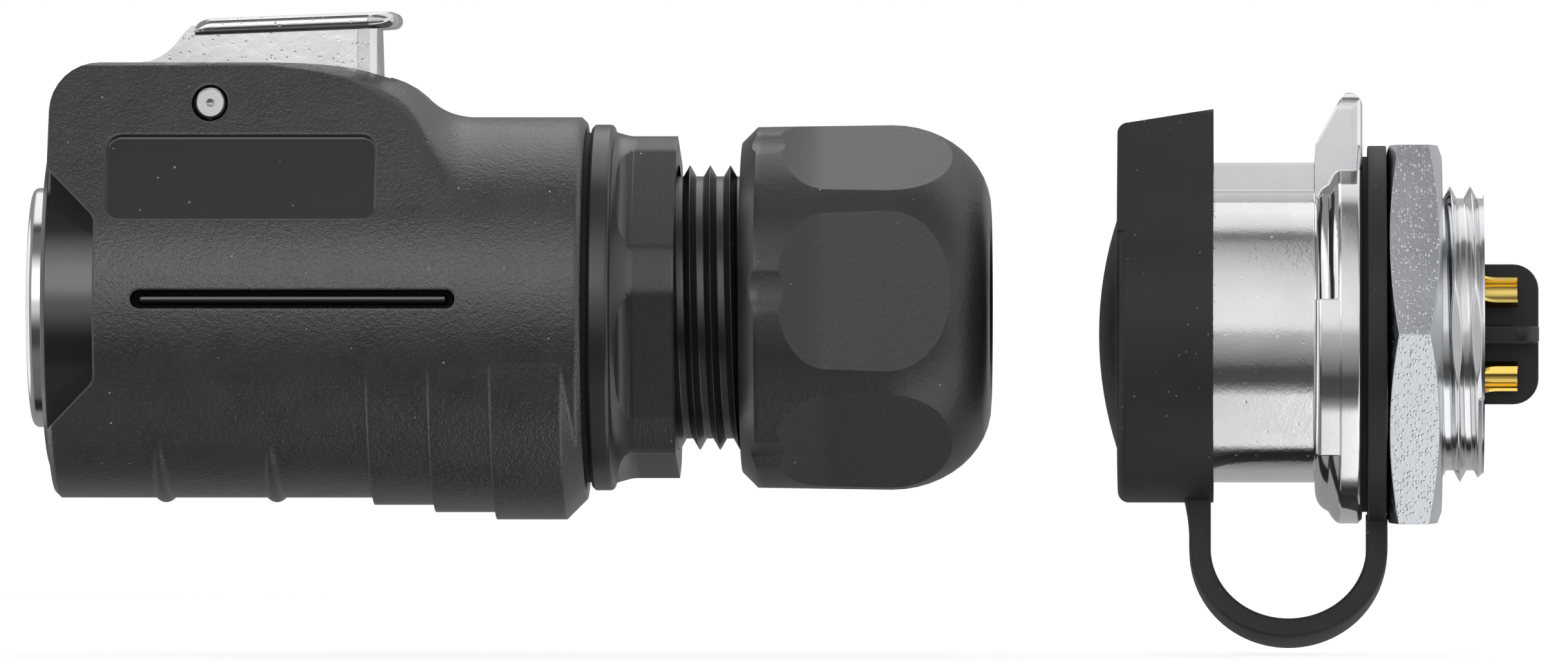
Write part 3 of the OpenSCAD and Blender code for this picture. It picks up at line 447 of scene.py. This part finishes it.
def glandFinish(look):
    made = startMaterial("gland_plastic", look)
    tree = made["tree"]
    x, side, z = placeInMm(made, plugOrigin)
    y = times(tree, side, -1.0)
    collar = collarMask(tree, x, y, z, collarFlats)
    grained = calc(tree, "MAXIMUM", gripMask(tree, x, y, z, gripFlats), collar)
    feeds = {"Vector": made["place"], "Scale": collarFlats["stretch"]}
    stretched = addNode(tree, "ShaderNodeMapping", feeds).outputs[0]
    streak = noiseAt(tree, stretched, collarFlats["streakScale"])
    color, rough = patchLook(made)
    color = blendColor(tree, grained, color, look["flatColor"])
    rough = blendValue(tree, grained, rough, look["flatRough"])
    height = blendValue(tree, collar, made["grain"]["Height"], streak)
    endMaterial(made, color, rough, height, blendValue(tree, grained, look["bump"], look["flatBump"]))


# Panel nut: sparkling zinc on the flats, brighter on the chamfers
nutLook = dict(dark=(0.66, 0.685, 0.72), light=(0.74, 0.765, 0.80), rough=(0.20, 0.27), metal=1.0,
               grainScale=4200.0, grainDepth=0.02 * mm, bump=0.3, dust=metalSpecks, pitDepth=0.03 * mm,
               turn=30.0, height=14.0, off=(0.03, 0.01), edgeColor=(0.74, 0.77, 0.81), edgeRough=0.16,
               edgeBump=0.06, sparkScale=4600.0, sparkShare=0.55, sparkRim=(0.55, 0.25),
               sparkColor=(0.92, 0.93, 0.95), sparkBump=0.8)


def nutFinish(look):
    made = startMaterial("nut_zinc", look)
    tree = made["tree"]
    y, z = placeInMm(made)[1:]
    off = calc(tree, "SUBTRACT", flatReach(tree, y, z, look["turn"]), look["height"])
    face = step(tree, calc(tree, "ABSOLUTE", off), *look["off"])
    distance, pick, bright = cellsAt(tree, made["place"], look["sparkScale"])
    chosen = calc(tree, "LESS_THAN", pick, look["sparkShare"])
    spark = times(tree, chosen, step(tree, distance, *look["sparkRim"]), bright)
    color, rough = patchLook(made)
    color = blendColor(tree, face, look["edgeColor"], blendColor(tree, spark, color, look["sparkColor"]))
    rough = blendValue(tree, face, look["edgeRough"], rough)
    bump = blendValue(tree, face, look["edgeBump"], look["bump"])
    pits = (spark, times(tree, face, look["sparkBump"]))
    endMaterial(made, color, rough, made["grain"]["Height"], bump, pits)


chromeFinish(chromeLook)
shellFinish(shellLook)
glandFinish(glandLook)
nutFinish(nutLook)
print("stage: materials,", len(materials))


# Pieces

def link(name, mesh):
    made = bpy.data.objects.new(name, mesh)
    scene.collection.objects.link(made)
    return made


def settle(piece, body, paintedSlotShade, *nodes):
    piece.data.materials.clear()
    piece.data.materials.append(materials[paintedSlotShade])
    if nodes:
        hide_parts(*nodes)
    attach(piece, body)


def plainMesh(piece, name):
    graph = bpy.context.evaluated_depsgraph_get()
    mesh = bpy.data.meshes.new_from_object(piece.evaluated_get(graph))
    mesh.name = name
    old = piece.data
    piece.modifiers.clear()
    piece.data = mesh
    bpy.data.meshes.remove(old)
    return piece


def smoothFaces(mesh):
    mesh.polygons.foreach_set("use_smooth", [True] * len(mesh.polygons))


# A node's copy with rounded edges, less the faces that drop picks
softRules = dict(weld=0.015 * mm, flat=math.radians(0.4), segments=3, weight=50)


def softCopy(node, width, angle=25, drop=None, shape=None):
    work = bmesh.new()
    work.from_mesh(frame["nodes"][node].data)
    bmesh.ops.remove_doubles(work, verts=work.verts, dist=softRules["weld"])
    if drop:
        away = [face for face in work.faces if drop([corner.co for corner in face.verts])]
        bmesh.ops.delete(work, geom=away, context="FACES")
    bmesh.ops.dissolve_limit(work, angle_limit=softRules["flat"], verts=work.verts, edges=work.edges)
    if shape:
        shape(work)
    mesh = bpy.data.meshes.new(node + "Soft")
    work.to_mesh(mesh)
    work.free()
    mesh.attributes.remove(mesh.attributes["custom_normal"])
    smoothFaces(mesh)
    piece = link(node + "Look", mesh)
    edge = piece.modifiers.new("edge", "BEVEL")
    edge.width = width
    edge.segments = softRules["segments"]
    edge.limit_method = "ANGLE"
    edge.angle_limit = math.radians(angle)
    edge.use_clamp_overlap = True
    edge.miter_outer = "MITER_ARC"
    shade = piece.modifiers.new("shade", "WEIGHTED_NORMAL")
    shade.weight = softRules["weight"]
    return plainMesh(piece, node + "Look")


# A node's copy with its own normals, evened out where faces meet on its curved parts
keptRules = dict(limit=math.cos(math.radians(30)), spotDigits=6, normalDigits=3)


def roundTo(vector, digits):
    return tuple(round(value, digits) for value in vector)


def keptCopy(node, drop, curved):
    source = frame["nodes"][node].data
    spots = [corner.co.copy() for corner in source.vertices]
    kept = [face for face in source.polygons if not drop([spots[i] for i in face.vertices])]
    used = sorted({i for face in kept for i in face.vertices})
    place = {old: new for new, old in enumerate(used)}
    corners = []
    meeting = {}
    for face in kept:
        bent = curved(face.center)
        for i in face.loop_indices:
            spot = roundTo(spots[source.loops[i].vertex_index], keptRules["spotDigits"])
            normal = source.corner_normals[i].vector.copy()
            corners.append((bent, spot, normal))
            if bent:
                meeting.setdefault(spot, {})[roundTo(normal, keptRules["normalDigits"])] = normal
    normals = []
    for bent, spot, normal in corners:
        others = meeting[spot].values() if bent else [normal]
        near = [other for other in others if other.dot(normal) > keptRules["limit"]]
        normals.append(sum(near, Vector()).normalized())
    mesh = bpy.data.meshes.new(node + "Look")
    mesh.from_pydata([spots[i] for i in used], [], [[place[i] for i in face.vertices] for face in kept])
    smoothFaces(mesh)
    mesh.normals_split_custom_set(normals)
    return link(node + "Look", mesh)


# Plain cylinders of the threads, which the wound threads take the place of
def onThread(x0, low, high, centreZ):
    def found(corners):
        reach = [math.hypot(spot.y, spot.z - centreZ) for spot in corners]
        return max(spot.x for spot in corners) > x0 and min(reach) > low and max(reach) < high
    return found


glandCrest = onThread(x0=plugX + 46.4 * mm, low=9.7 * mm, high=10.7 * mm, centreZ=plugZ)
panelCrest = onThread(x0=0.1 * mm, low=10.2 * mm, high=11.1 * mm, centreZ=0)


# Latch: the rim's front ends run down to the ramp in a round
rimEnd = dict(x=plugX + 10.6 * mm, z=plugZ + 20.17 * mm, tilt=math.radians(2.2), slack=0.03 * mm,
              reach=1.3 * mm, inner=4.05 * mm, outer=4.6 * mm, cuts=8, spread=1.6, weld=0.0001 * mm,
              least=0.2)


def roundRim(work):
    ahead = Vector((math.cos(rimEnd["tilt"]), 0, math.sin(rimEnd["tilt"])))
    up = Vector((-math.sin(rimEnd["tilt"]), 0, math.cos(rimEnd["tilt"])))
    foot = Vector((rimEnd["x"], 0, rimEnd["z"]))

    def onRim(spot):
        return abs(spot.y) > rimEnd["inner"] and (spot - foot).dot(up) > -rimEnd["slack"]

    for i in range(1, rimEnd["cuts"] + 1):
        rim = [face for face in work.faces if all(onRim(corner.co) for corner in face.verts)]
        edges = {edge for face in rim for edge in face.edges}
        corners = {corner for face in rim for corner in face.verts}
        spot = foot + ahead * rimEnd["reach"] * (i / rimEnd["cuts"]) ** rimEnd["spread"]
        bmesh.ops.bisect_plane(work, geom=[*rim, *edges, *corners], dist=rimEnd["weld"],
                               plane_co=spot, plane_no=ahead)
    for corner in work.verts:
        along = (corner.co - foot).dot(ahead) / rimEnd["reach"]
        height = (corner.co - foot).dot(up)
        side = (abs(corner.co.y) - rimEnd["inner"]) / (rimEnd["outer"] - rimEnd["inner"])
        if onRim(corner.co) and -rimEnd["slack"] < along * rimEnd["reach"] < rimEnd["reach"]:
            rise = math.sqrt(1 - (1 - max(along, 0.0)) ** 2)
            corner.co -= up * height * min(side, 1.0) * (1 - rimEnd["least"]) * (1 - rise)


# Edge rounds of the copies; the plug's and the socket's shells are rounded by their materials
softCopies = dict(panel_nut=dict(width=0.12 * mm), gland_nut=dict(width=0.2 * mm),
                  dust_cap=dict(width=0.2 * mm), front_liner=dict(width=0.06 * mm),
                  latch_pin=dict(width=0.05 * mm), strap_ring=dict(width=0.12 * mm),
                  socket_insert=dict(width=0.2 * mm),
                  latch_lever=dict(width=0.12 * mm, angle=35, shape=roundRim),
                  back_shell=dict(width=0.18 * mm, drop=glandCrest))
for node, rules in softCopies.items():
    copy = softCopy(node, **rules)
    settle(copy, bodyOfNode[node], slotOfNode[node], node)

# Socket's shell: the curved part of its flange has its normals evened out
flange = dict(x=(-3.6 * mm, -1.62 * mm), reach=(11.1 * mm, 13.95 * mm))


def onFlange(spot):
    x0, x1 = flange["x"]
    low, high = flange["reach"]
    return x0 < spot.x < x1 and low < math.hypot(spot.y, spot.z) < high


socketCopy = keptCopy("socket_shell", panelCrest, onFlange)
settle(socketCopy, bodyOfNode["socket_shell"], slotOfNode["socket_shell"], "socket_shell")
print("stage: copies,", len(softCopies) + 1)


# Geometry Nodes: threads wound from a grid, with flat roots and sharp crests, and the latch's coil spring

def startSkin(name, *labels):
    group = bpy.data.node_groups.new(name, "GeometryNodeTree")
    group.interface.new_socket("Geometry", in_out="OUTPUT", socket_type="NodeSocketGeometry")
    for label in labels:
        group.interface.new_socket(label, in_out="INPUT", socket_type="NodeSocketFloat")
    group.interface.new_socket("Material", in_out="INPUT", socket_type="NodeSocketMaterial")
    return group, group.nodes.new("NodeGroupInput").outputs


def endSkin(group, ins, made):
    smooth = addNode(group, "GeometryNodeSetShadeSmooth", {"Geometry": made}).outputs[0]
    whole = addNode(group, "GeometryNodeRealizeInstances", {"Geometry": smooth}).outputs[0]
    feeds = {"Geometry": whole, "Material": ins["Material"]}
    painted = addNode(group, "GeometryNodeSetMaterial", feeds).outputs[0]
    group.links.new(painted, group.nodes.new("NodeGroupOutput").inputs["Geometry"])
    return group


def skinPiece(name, group, sizes, paintedSlotShade, *nodes):
    piece = link(name, bpy.data.meshes.new(name))
    skin = piece.modifiers.new("skin", "NODES")
    skin.node_group = group
    sockets = {item.name: item.identifier for item in group.interface.items_tree if item.in_out == "INPUT"}
    for label, value in sizes.items():
        skin[sockets[label]] = value
    skin[sockets["Material"]] = materials[paintedSlotShade]
    plainMesh(piece, name)
    settle(piece, "housings", paintedSlotShade, *nodes)
    return piece


# Grid of a thread, the share of its pitch from crest to root, and turns that keep its wave positive
threadGrid = dict(along=241, around=193, fall=0.32, ahead=20.0, weld=0.001 * mm)
# Flat is half the width across a thread's two flats, and 1.0 leaves the thread round
glandThread = dict(Start=plugX + 46.15 * mm, Length=10.1 * mm, Radius=10.6 * mm, Depth=0.85 * mm,
                   Pitch=1.5 * mm, Phase=0.35, Flat=1.0, Chamfer=0.8 * mm, Height=plugZ)
panelThread = dict(Start=0.0, Length=9.0 * mm, Radius=11.0 * mm, Depth=0.9 * mm,
                   Pitch=1.5 * mm, Phase=0.65, Flat=10.3 * mm, Chamfer=0.75 * mm, Height=0.0)


def threadGroup(sizes):
    group, ins = startSkin(
        "threadSkin", "Start", "Length", "Radius", "Depth", "Pitch", "Phase", "Flat", "Chamfer", "Height")

    def get(*values, **extra):
        return calc(group, *values, **extra)

    grid = addNode(group, "GeometryNodeMeshGrid", {
        "Size X": 1.0, "Size Y": 1.0, "Vertices X": sizes["along"], "Vertices Y": sizes["around"]})
    start = addNode(group, "GeometryNodeInputPosition").outputs[0]
    spot = addNode(group, "ShaderNodeSeparateXYZ", {0: start}).outputs
    turn = get("ADD", spot["Y"], 0.5)
    total = get("ADD", ins["Length"], ins["Pitch"])
    along = get("SUBTRACT", get("MULTIPLY", get("ADD", spot["X"], 0.5), total), ins["Pitch"])
    end = get("ADD", ins["Start"], ins["Length"])
    x = get("ADD", get("ADD", ins["Start"], along), get("MULTIPLY", turn, ins["Pitch"]))
    x = get("MINIMUM", get("MAXIMUM", x, ins["Start"]), end)
    phase = get("ADD", ins["Phase"], sizes["ahead"])
    wave = get("PINGPONG", get("ADD", get("DIVIDE", along, ins["Pitch"]), phase), 0.5)
    crest = get("MULTIPLY", get("SUBTRACT", sizes["fall"], wave), 1 / sizes["fall"], clamp=True)
    radius = get("SUBTRACT", ins["Radius"], get("MULTIPLY", get("SUBTRACT", 1.0, crest), ins["Depth"]))
    slope = get("SUBTRACT", ins["Radius"], get("SUBTRACT", get("ADD", x, ins["Chamfer"]), end))
    radius = get("MINIMUM", radius, slope)
    angle = get("MULTIPLY", turn, 2 * math.pi)
    y = get("MULTIPLY", get("MULTIPLY", get("SINE", angle), radius), -1.0)
    y = get("MINIMUM", get("MAXIMUM", y, get("MULTIPLY", ins["Flat"], -1.0)), ins["Flat"])
    z = get("ADD", get("MULTIPLY", get("COSINE", angle), radius), ins["Height"])
    wound = addNode(group, "ShaderNodeCombineXYZ", {0: x, 1: y, 2: z}).outputs[0]
    feeds = {"Geometry": grid.outputs[0], "Position": wound}
    moved = addNode(group, "GeometryNodeSetPosition", feeds).outputs[0]
    feeds = {"Geometry": moved, "Distance": sizes["weld"]}
    return endSkin(group, ins, addNode(group, "GeometryNodeMergeByDistance", feeds).outputs[0])


threads = threadGroup(threadGrid)
skinPiece("glandThread", threads, glandThread, "gland_plastic")
skinPiece("panelThread", threads, panelThread, "socket_chrome")
print("stage: threads")


# The coil spring below the latch
coil = dict(X=-77.7 * mm, Z=15.18 * mm, Radius=1.7 * mm, Wire=0.25 * mm, Turns=4.5, Height=6.24 * mm)
coilSides = dict(turn=40, wire=12)


def coilGroup(sides):
    group, ins = startSkin("coilSkin", "X", "Z", "Radius", "Wire", "Turns", "Height")
    feeds = {"Resolution": sides["turn"], "Rotations": ins["Turns"], "Start Radius": ins["Radius"],
             "End Radius": ins["Radius"], "Height": ins["Height"]}
    line = addNode(group, "GeometryNodeCurveSpiral", feeds).outputs[0]
    feeds = {"Resolution": sides["wire"], "Radius": ins["Wire"]}
    ring = addNode(group, "GeometryNodeCurvePrimitiveCircle", feeds).outputs[0]
    feeds = {"Curve": line, "Profile Curve": ring, "Fill Caps": True}
    tube = addNode(group, "GeometryNodeCurveToMesh", feeds).outputs[0]
    seat = addNode(group, "ShaderNodeCombineXYZ", {"X": ins["X"], "Z": ins["Z"]}).outputs[0]
    moved = addNode(group, "GeometryNodeTransform", {"Geometry": tube, "Translation": seat}).outputs[0]
    return endSkin(group, ins, moved)


spring = skinPiece("springCoil", coilGroup(coilSides), coil, "spring_steel", "latch_spring")
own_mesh(spring)
print("stage: spring")


# Strap: a loop that leans towards the camera, thicker where it leaves the cap
strap = dict(width=4.66 * mm, thick=1.6 * mm, frontX=-12.0 * mm, rearX=1.1 * mm, topZ=-11.8 * mm,
             ringZ=-13.4 * mm, bendZ=-16.1 * mm, edge=0.3 * mm, flare=0.5 * mm, flareEnd=-15.5 * mm,
             hangZ=-13.3 * mm, lean=math.radians(12), leanPower=0.7, shrink=0.965,
             frontSteps=12, bendSteps=48, rearSteps=6, edgeSteps=4)


def strapPath(sizes):
    bendR = (sizes["rearX"] - sizes["frontX"]) / 2
    centreX = sizes["frontX"] + bendR
    drop = (sizes["bendZ"] - sizes["topZ"]) / sizes["frontSteps"]
    rise = (sizes["ringZ"] - sizes["bendZ"]) / sizes["rearSteps"]
    points = [(sizes["frontX"], sizes["topZ"] + drop * i) for i in range(sizes["frontSteps"])]
    for i in range(sizes["bendSteps"] + 1):
        turn = math.pi * i / sizes["bendSteps"]
        points.append((centreX - bendR * math.cos(turn), sizes["bendZ"] - bendR * math.sin(turn)))
    points += [(sizes["rearX"], sizes["bendZ"] + rise * i) for i in range(1, sizes["rearSteps"] + 1)]
    return points


def strapSection(sizes):
    edge = sizes["edge"]
    corners = []
    for sideY, sideT, start in ((1, 1, 0), (-1, 1, 90), (-1, -1, 180), (1, -1, 270)):
        for i in range(sizes["edgeSteps"] + 1):
            turn = math.radians(start + 90 * i / sizes["edgeSteps"])
            corners.append((sideY * (sizes["width"] / 2 - edge) + edge * math.cos(turn),
                            sideT * (sizes["thick"] / 2 - edge) + edge * math.sin(turn)))
    return corners


def leanPoint(sizes, lowest, x, y, z):
    hang = max(0.0, sizes["hangZ"] - z)
    angle = sizes["lean"] * (hang / (sizes["hangZ"] - lowest)) ** sizes["leanPower"]
    reach = hang * sizes["shrink"]
    return (x, y * math.cos(angle) - reach * math.sin(angle),
            z + hang - reach * math.cos(angle) - y * math.sin(angle))


def strapVerts(sizes, path, section):
    lowest = min(z for x, z in path) - sizes["thick"] / 2
    verts = []
    for i, (x, z) in enumerate(path):
        x0, z0 = path[max(i - 1, 0)]
        x1, z1 = path[min(i + 1, len(path) - 1)]
        length = math.hypot(x1 - x0, z1 - z0)
        outX = (z1 - z0) / length
        outZ = (x0 - x1) / length
        share = (z - sizes["flareEnd"]) / (sizes["topZ"] - sizes["flareEnd"]) if i < len(path) / 2 else 0.0
        flare = sizes["flare"] * max(0.0, share) ** 2
        for y, t in section:
            out = t + flare if t > 0 else t
            verts.append(leanPoint(sizes, lowest, x + outX * out, y, z + outZ * out))
    return verts


def strapFaces(rings, count):
    faces = [tuple(range(count))]
    for i in range(rings - 1):
        for j in range(count):
            k = (j + 1) % count
            faces.append((i * count + j, i * count + k, (i + 1) * count + k, (i + 1) * count + j))
    faces.append(tuple((rings - 1) * count + j for j in reversed(range(count))))
    return faces


def strapPiece(sizes):
    path = strapPath(sizes)
    section = strapSection(sizes)
    mesh = bpy.data.meshes.new("strapLook")
    mesh.from_pydata(strapVerts(sizes, path, section), [], strapFaces(len(path), len(section)))
    smoothFaces(mesh)
    work = bmesh.new()
    work.from_mesh(mesh)
    bmesh.ops.recalc_face_normals(work, faces=work.faces)
    work.to_mesh(mesh)
    work.free()
    return link("strapLook", mesh)


loop = strapPiece(strap)
loop.data.materials.append(materials["cap_rubber"])
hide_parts("cap_strap")
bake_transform(loop)
print("stage: strap")

for node, shown in frame["nodes"].items():
    shown.data.materials.clear()
    shown.data.materials.append(materials[slotOfNode[node]])


# Floor, light tent, world and camera

def stagePiece(name, verts, faces, mat):
    mesh = bpy.data.meshes.new(name)
    mesh.from_pydata(verts, [], faces)
    mesh.materials.append(mat)
    made = link(name, mesh)
    return made


def stageMaterial(name):
    mat = bpy.data.materials.new(name)
    mat.use_nodes = True
    mat.node_tree.nodes.remove(mat.node_tree.nodes["Principled BSDF"])
    return mat, mat.node_tree, mat.node_tree.nodes["Material Output"].inputs[0]


def seenRays(tree):
    path = addNode(tree, "ShaderNodeLightPath").outputs
    seen = calc(tree, "MAXIMUM", path["Is Camera Ray"], path["Is Glossy Ray"])
    return calc(tree, "MAXIMUM", seen, path["Is Transmission Ray"])


# Pale floor: white to the camera, a little darker where the object shades it
pale = dict(z=-23.75 * mm, x0=-0.36, x1=0.27, depth=0.28, matte=0.8, shade=0.34, glow=0.83,
            mottleScale=40.0, mottle=0.02)


def floorMaterial(look):
    mat, tree, surface = stageMaterial("paleFloor")
    place = addNode(tree, "ShaderNodeTexCoord").outputs["Object"]
    seen = seenRays(tree)
    noise = noiseAt(tree, place, look["mottleScale"])
    level = calc(tree, "MULTIPLY_ADD", noise, look["mottle"], -look["mottle"] / 2)
    level = calc(tree, "ADD", level, blendValue(tree, seen, look["matte"], look["shade"]))
    gray = addNode(tree, "ShaderNodeCombineColor", {0: level, 1: level, 2: level}).outputs[0]
    matte = addNode(tree, "ShaderNodeBsdfDiffuse", {"Color": gray}).outputs[0]
    glow = addNode(tree, "ShaderNodeEmission", {"Strength": times(tree, seen, look["glow"])}).outputs[0]
    tree.links.new(addNode(tree, "ShaderNodeAddShader", {0: matte, 1: glow}).outputs[0], surface)
    return mat


def floorPiece(sizes):
    corners = [(sizes[x], y, sizes["z"]) for x, y in (
        ("x0", -sizes["depth"]), ("x1", -sizes["depth"]), ("x1", sizes["depth"]), ("x0", sizes["depth"]))]
    made = stagePiece("floor", corners, [(0, 1, 2, 3)], floorMaterial(sizes))
    made.visible_glossy = False  # metal mirrors the tent below it


# Light tent: soft strips round the axes, by degrees above the camera's side, for plug, gland, socket and nut
tent = dict(radius=0.3, half=0.6, sides=96, strength=2.2, glandSplit=(-58 * mm, -54 * mm),
            socketSplit=(-30 * mm, -24 * mm), nutSplit=(-1 * mm, 1 * mm),
            farSplit=(-170 * mm, -130 * mm), farLevel=0.3, endSplit=(-420 * mm, -340 * mm), endLevel=1.2,
            plug=((-180, 0.3), (-122, 0.3), (-115, 0.02), (-101, 0.02), (-96, 0.14), (-43, 0.16), (-36, 0.05),
                  (-20, 0.05), (-10, 0.4), (-4, 0.75), (6, 0.9), (13, 2.1), (26, 2.1), (40, 1.2), (48, 0.6),
                  (53, 0.2), (74, 0.15), (79, 0.05), (86, 0.05), (89, 1.2), (142, 1.2), (150, 0.3),
                  (180, 0.3)),
            gland=((-180, 0.3), (-135, 0.3), (-128, 0.5), (-92, 0.5), (-85, 0.16), (-43, 0.16), (-36, 0.05),
                   (-20, 0.05), (-10, 0.3), (0, 0.5), (24, 0.6), (40, 0.8), (48, 0.6), (56, 0.4),
                   (72, 0.7), (84, 1.1), (92, 1.4), (118, 1.7), (124, 1.9), (142, 1.9), (150, 0.3),
                   (180, 0.3)),
            socket=((-180, 0.45), (-131, 0.38), (-120, 0.23), (-113, 0.03), (-106, 0.03), (-100, 0.15),
                    (-95, 0.80), (-48, 0.76), (-43, 0.30), (-37, 0.08), (-26, 0.07), (-21, 0.18), (0, 0.50),
                    (4, 0.80), (10, 0.92), (26, 0.88), (48, 0.73), (60, 0.6), (74, 0.38), (79, 0.2),
                    (84, 0.25), (88, 0.6), (93, 0.84), (110, 1.03), (131, 1.03), (142, 0.5), (180, 0.45)),
            nut=((-180, 0.45), (-131, 0.38), (-120, 0.23), (-113, 0.03), (-106, 0.03), (-100, 0.2),
                 (-95, 1.15), (-48, 1.15), (-43, 0.3), (-37, 0.08), (-26, 0.07), (-21, 0.18), (0, 0.5),
                 (6, 0.85), (30, 0.85), (45, 0.65), (58, 0.3), (70, 0.12), (84, 0.2), (88, 0.6), (93, 0.84),
                 (110, 1.03), (131, 1.03), (142, 0.5), (180, 0.45)))


def grayOf(level, strength):
    return (level / strength,) * 3


def stripRamp(tree, place, stops, strength):
    ramp = addNode(tree, "ShaderNodeValToRGB", {0: place})
    for i, (degrees, level) in enumerate(stops):
        spot = (degrees + 180) / 360
        ready = i < 2  # a new ramp has two stops
        stop = ramp.color_ramp.elements[i] if ready else ramp.color_ramp.elements.new(spot)
        stop.position = spot
        stop.color = (*grayOf(level, strength), 1)
    return ramp.outputs[0]


def tentMaterial(sizes):
    mat, tree, surface = stageMaterial("lightTent")
    spot = addNode(tree, "ShaderNodeTexCoord").outputs["Object"]
    axes = addNode(tree, "ShaderNodeSeparateXYZ", {0: spot}).outputs
    angle = calc(tree, "ARCTAN2", axes["Z"], times(tree, axes["Y"], -1.0))
    place = calc(tree, "MULTIPLY_ADD", angle, 0.5 / math.pi, 0.5)
    strength = sizes["strength"]
    color = stripRamp(tree, place, sizes["plug"], strength)
    for side in ("gland", "socket", "nut"):
        ramp = stripRamp(tree, place, sizes[side], strength)
        color = blendColor(tree, step(tree, axes["X"], *sizes[side + "Split"]), color, ramp)
    for side in ("far", "end"):
        level = grayOf(sizes[side + "Level"], strength)
        color = blendColor(tree, step(tree, axes["X"], *sizes[side + "Split"]), level, color)
    glow = addNode(tree, "ShaderNodeEmission", {"Color": color, "Strength": strength}).outputs[0]
    tree.links.new(glow, surface)
    return mat


def tentPiece(sizes):
    sides = sizes["sides"]
    turns = [2 * math.pi * i / sides for i in range(sides)]
    verts = [(end * sizes["half"], sizes["radius"] * math.cos(turn), sizes["radius"] * math.sin(turn))
             for end in (-1, 1) for turn in turns]
    faces = [(i, (i + 1) % sides, sides + (i + 1) % sides, sides + i) for i in range(sides)]
    made = stagePiece("lightTent", verts, faces, tentMaterial(sizes))
    made.visible_camera = False
    made.visible_shadow = False


floorPiece(pale)
tentPiece(tent)

# World: white where it is seen or mirrored, and otherwise a low even light
studio = dict(light=(0.15, 0.15, 0.15), seen=(1.0, 1.0, 1.0), strength=1.0)
world = bpy.data.worlds.new("studio")
scene.world = world
world.use_nodes = True
background = world.node_tree.nodes["Background"]
sky = blendColor(world.node_tree, seenRays(world.node_tree), studio["light"], studio["seen"])
world.node_tree.links.new(sky, background.inputs["Color"])
background.inputs["Strength"].default_value = studio["strength"]

# Camera: far off, a little to the side of the solder cups
view = dict(distance=1.2, width=116.5 * mm, yaw=math.radians(1.7), aim=(-42.9 * mm, 0.0, 0.1 * mm),
            sensor=36, clipEnd=20)
lens = bpy.data.cameras.new("photoCamera")
lens.sensor_width = view["sensor"]
lens.lens = view["sensor"] * view["distance"] / view["width"]
lens.clip_end = view["clipEnd"]
lens.dof.use_dof = False
camera = link("photoCamera", lens)
turned = Matrix.Rotation(view["yaw"], 4, "Z") @ Matrix.Rotation(math.pi / 2, 4, "X")
back = turned.to_3x3() @ Vector((0, 0, view["distance"]))
camera.rotation_euler = turned.to_euler()
camera.location = Vector(view["aim"]) + back
scene.camera = camera
scene.view_settings.view_transform = "Standard"
print("stage: floor, light and camera")
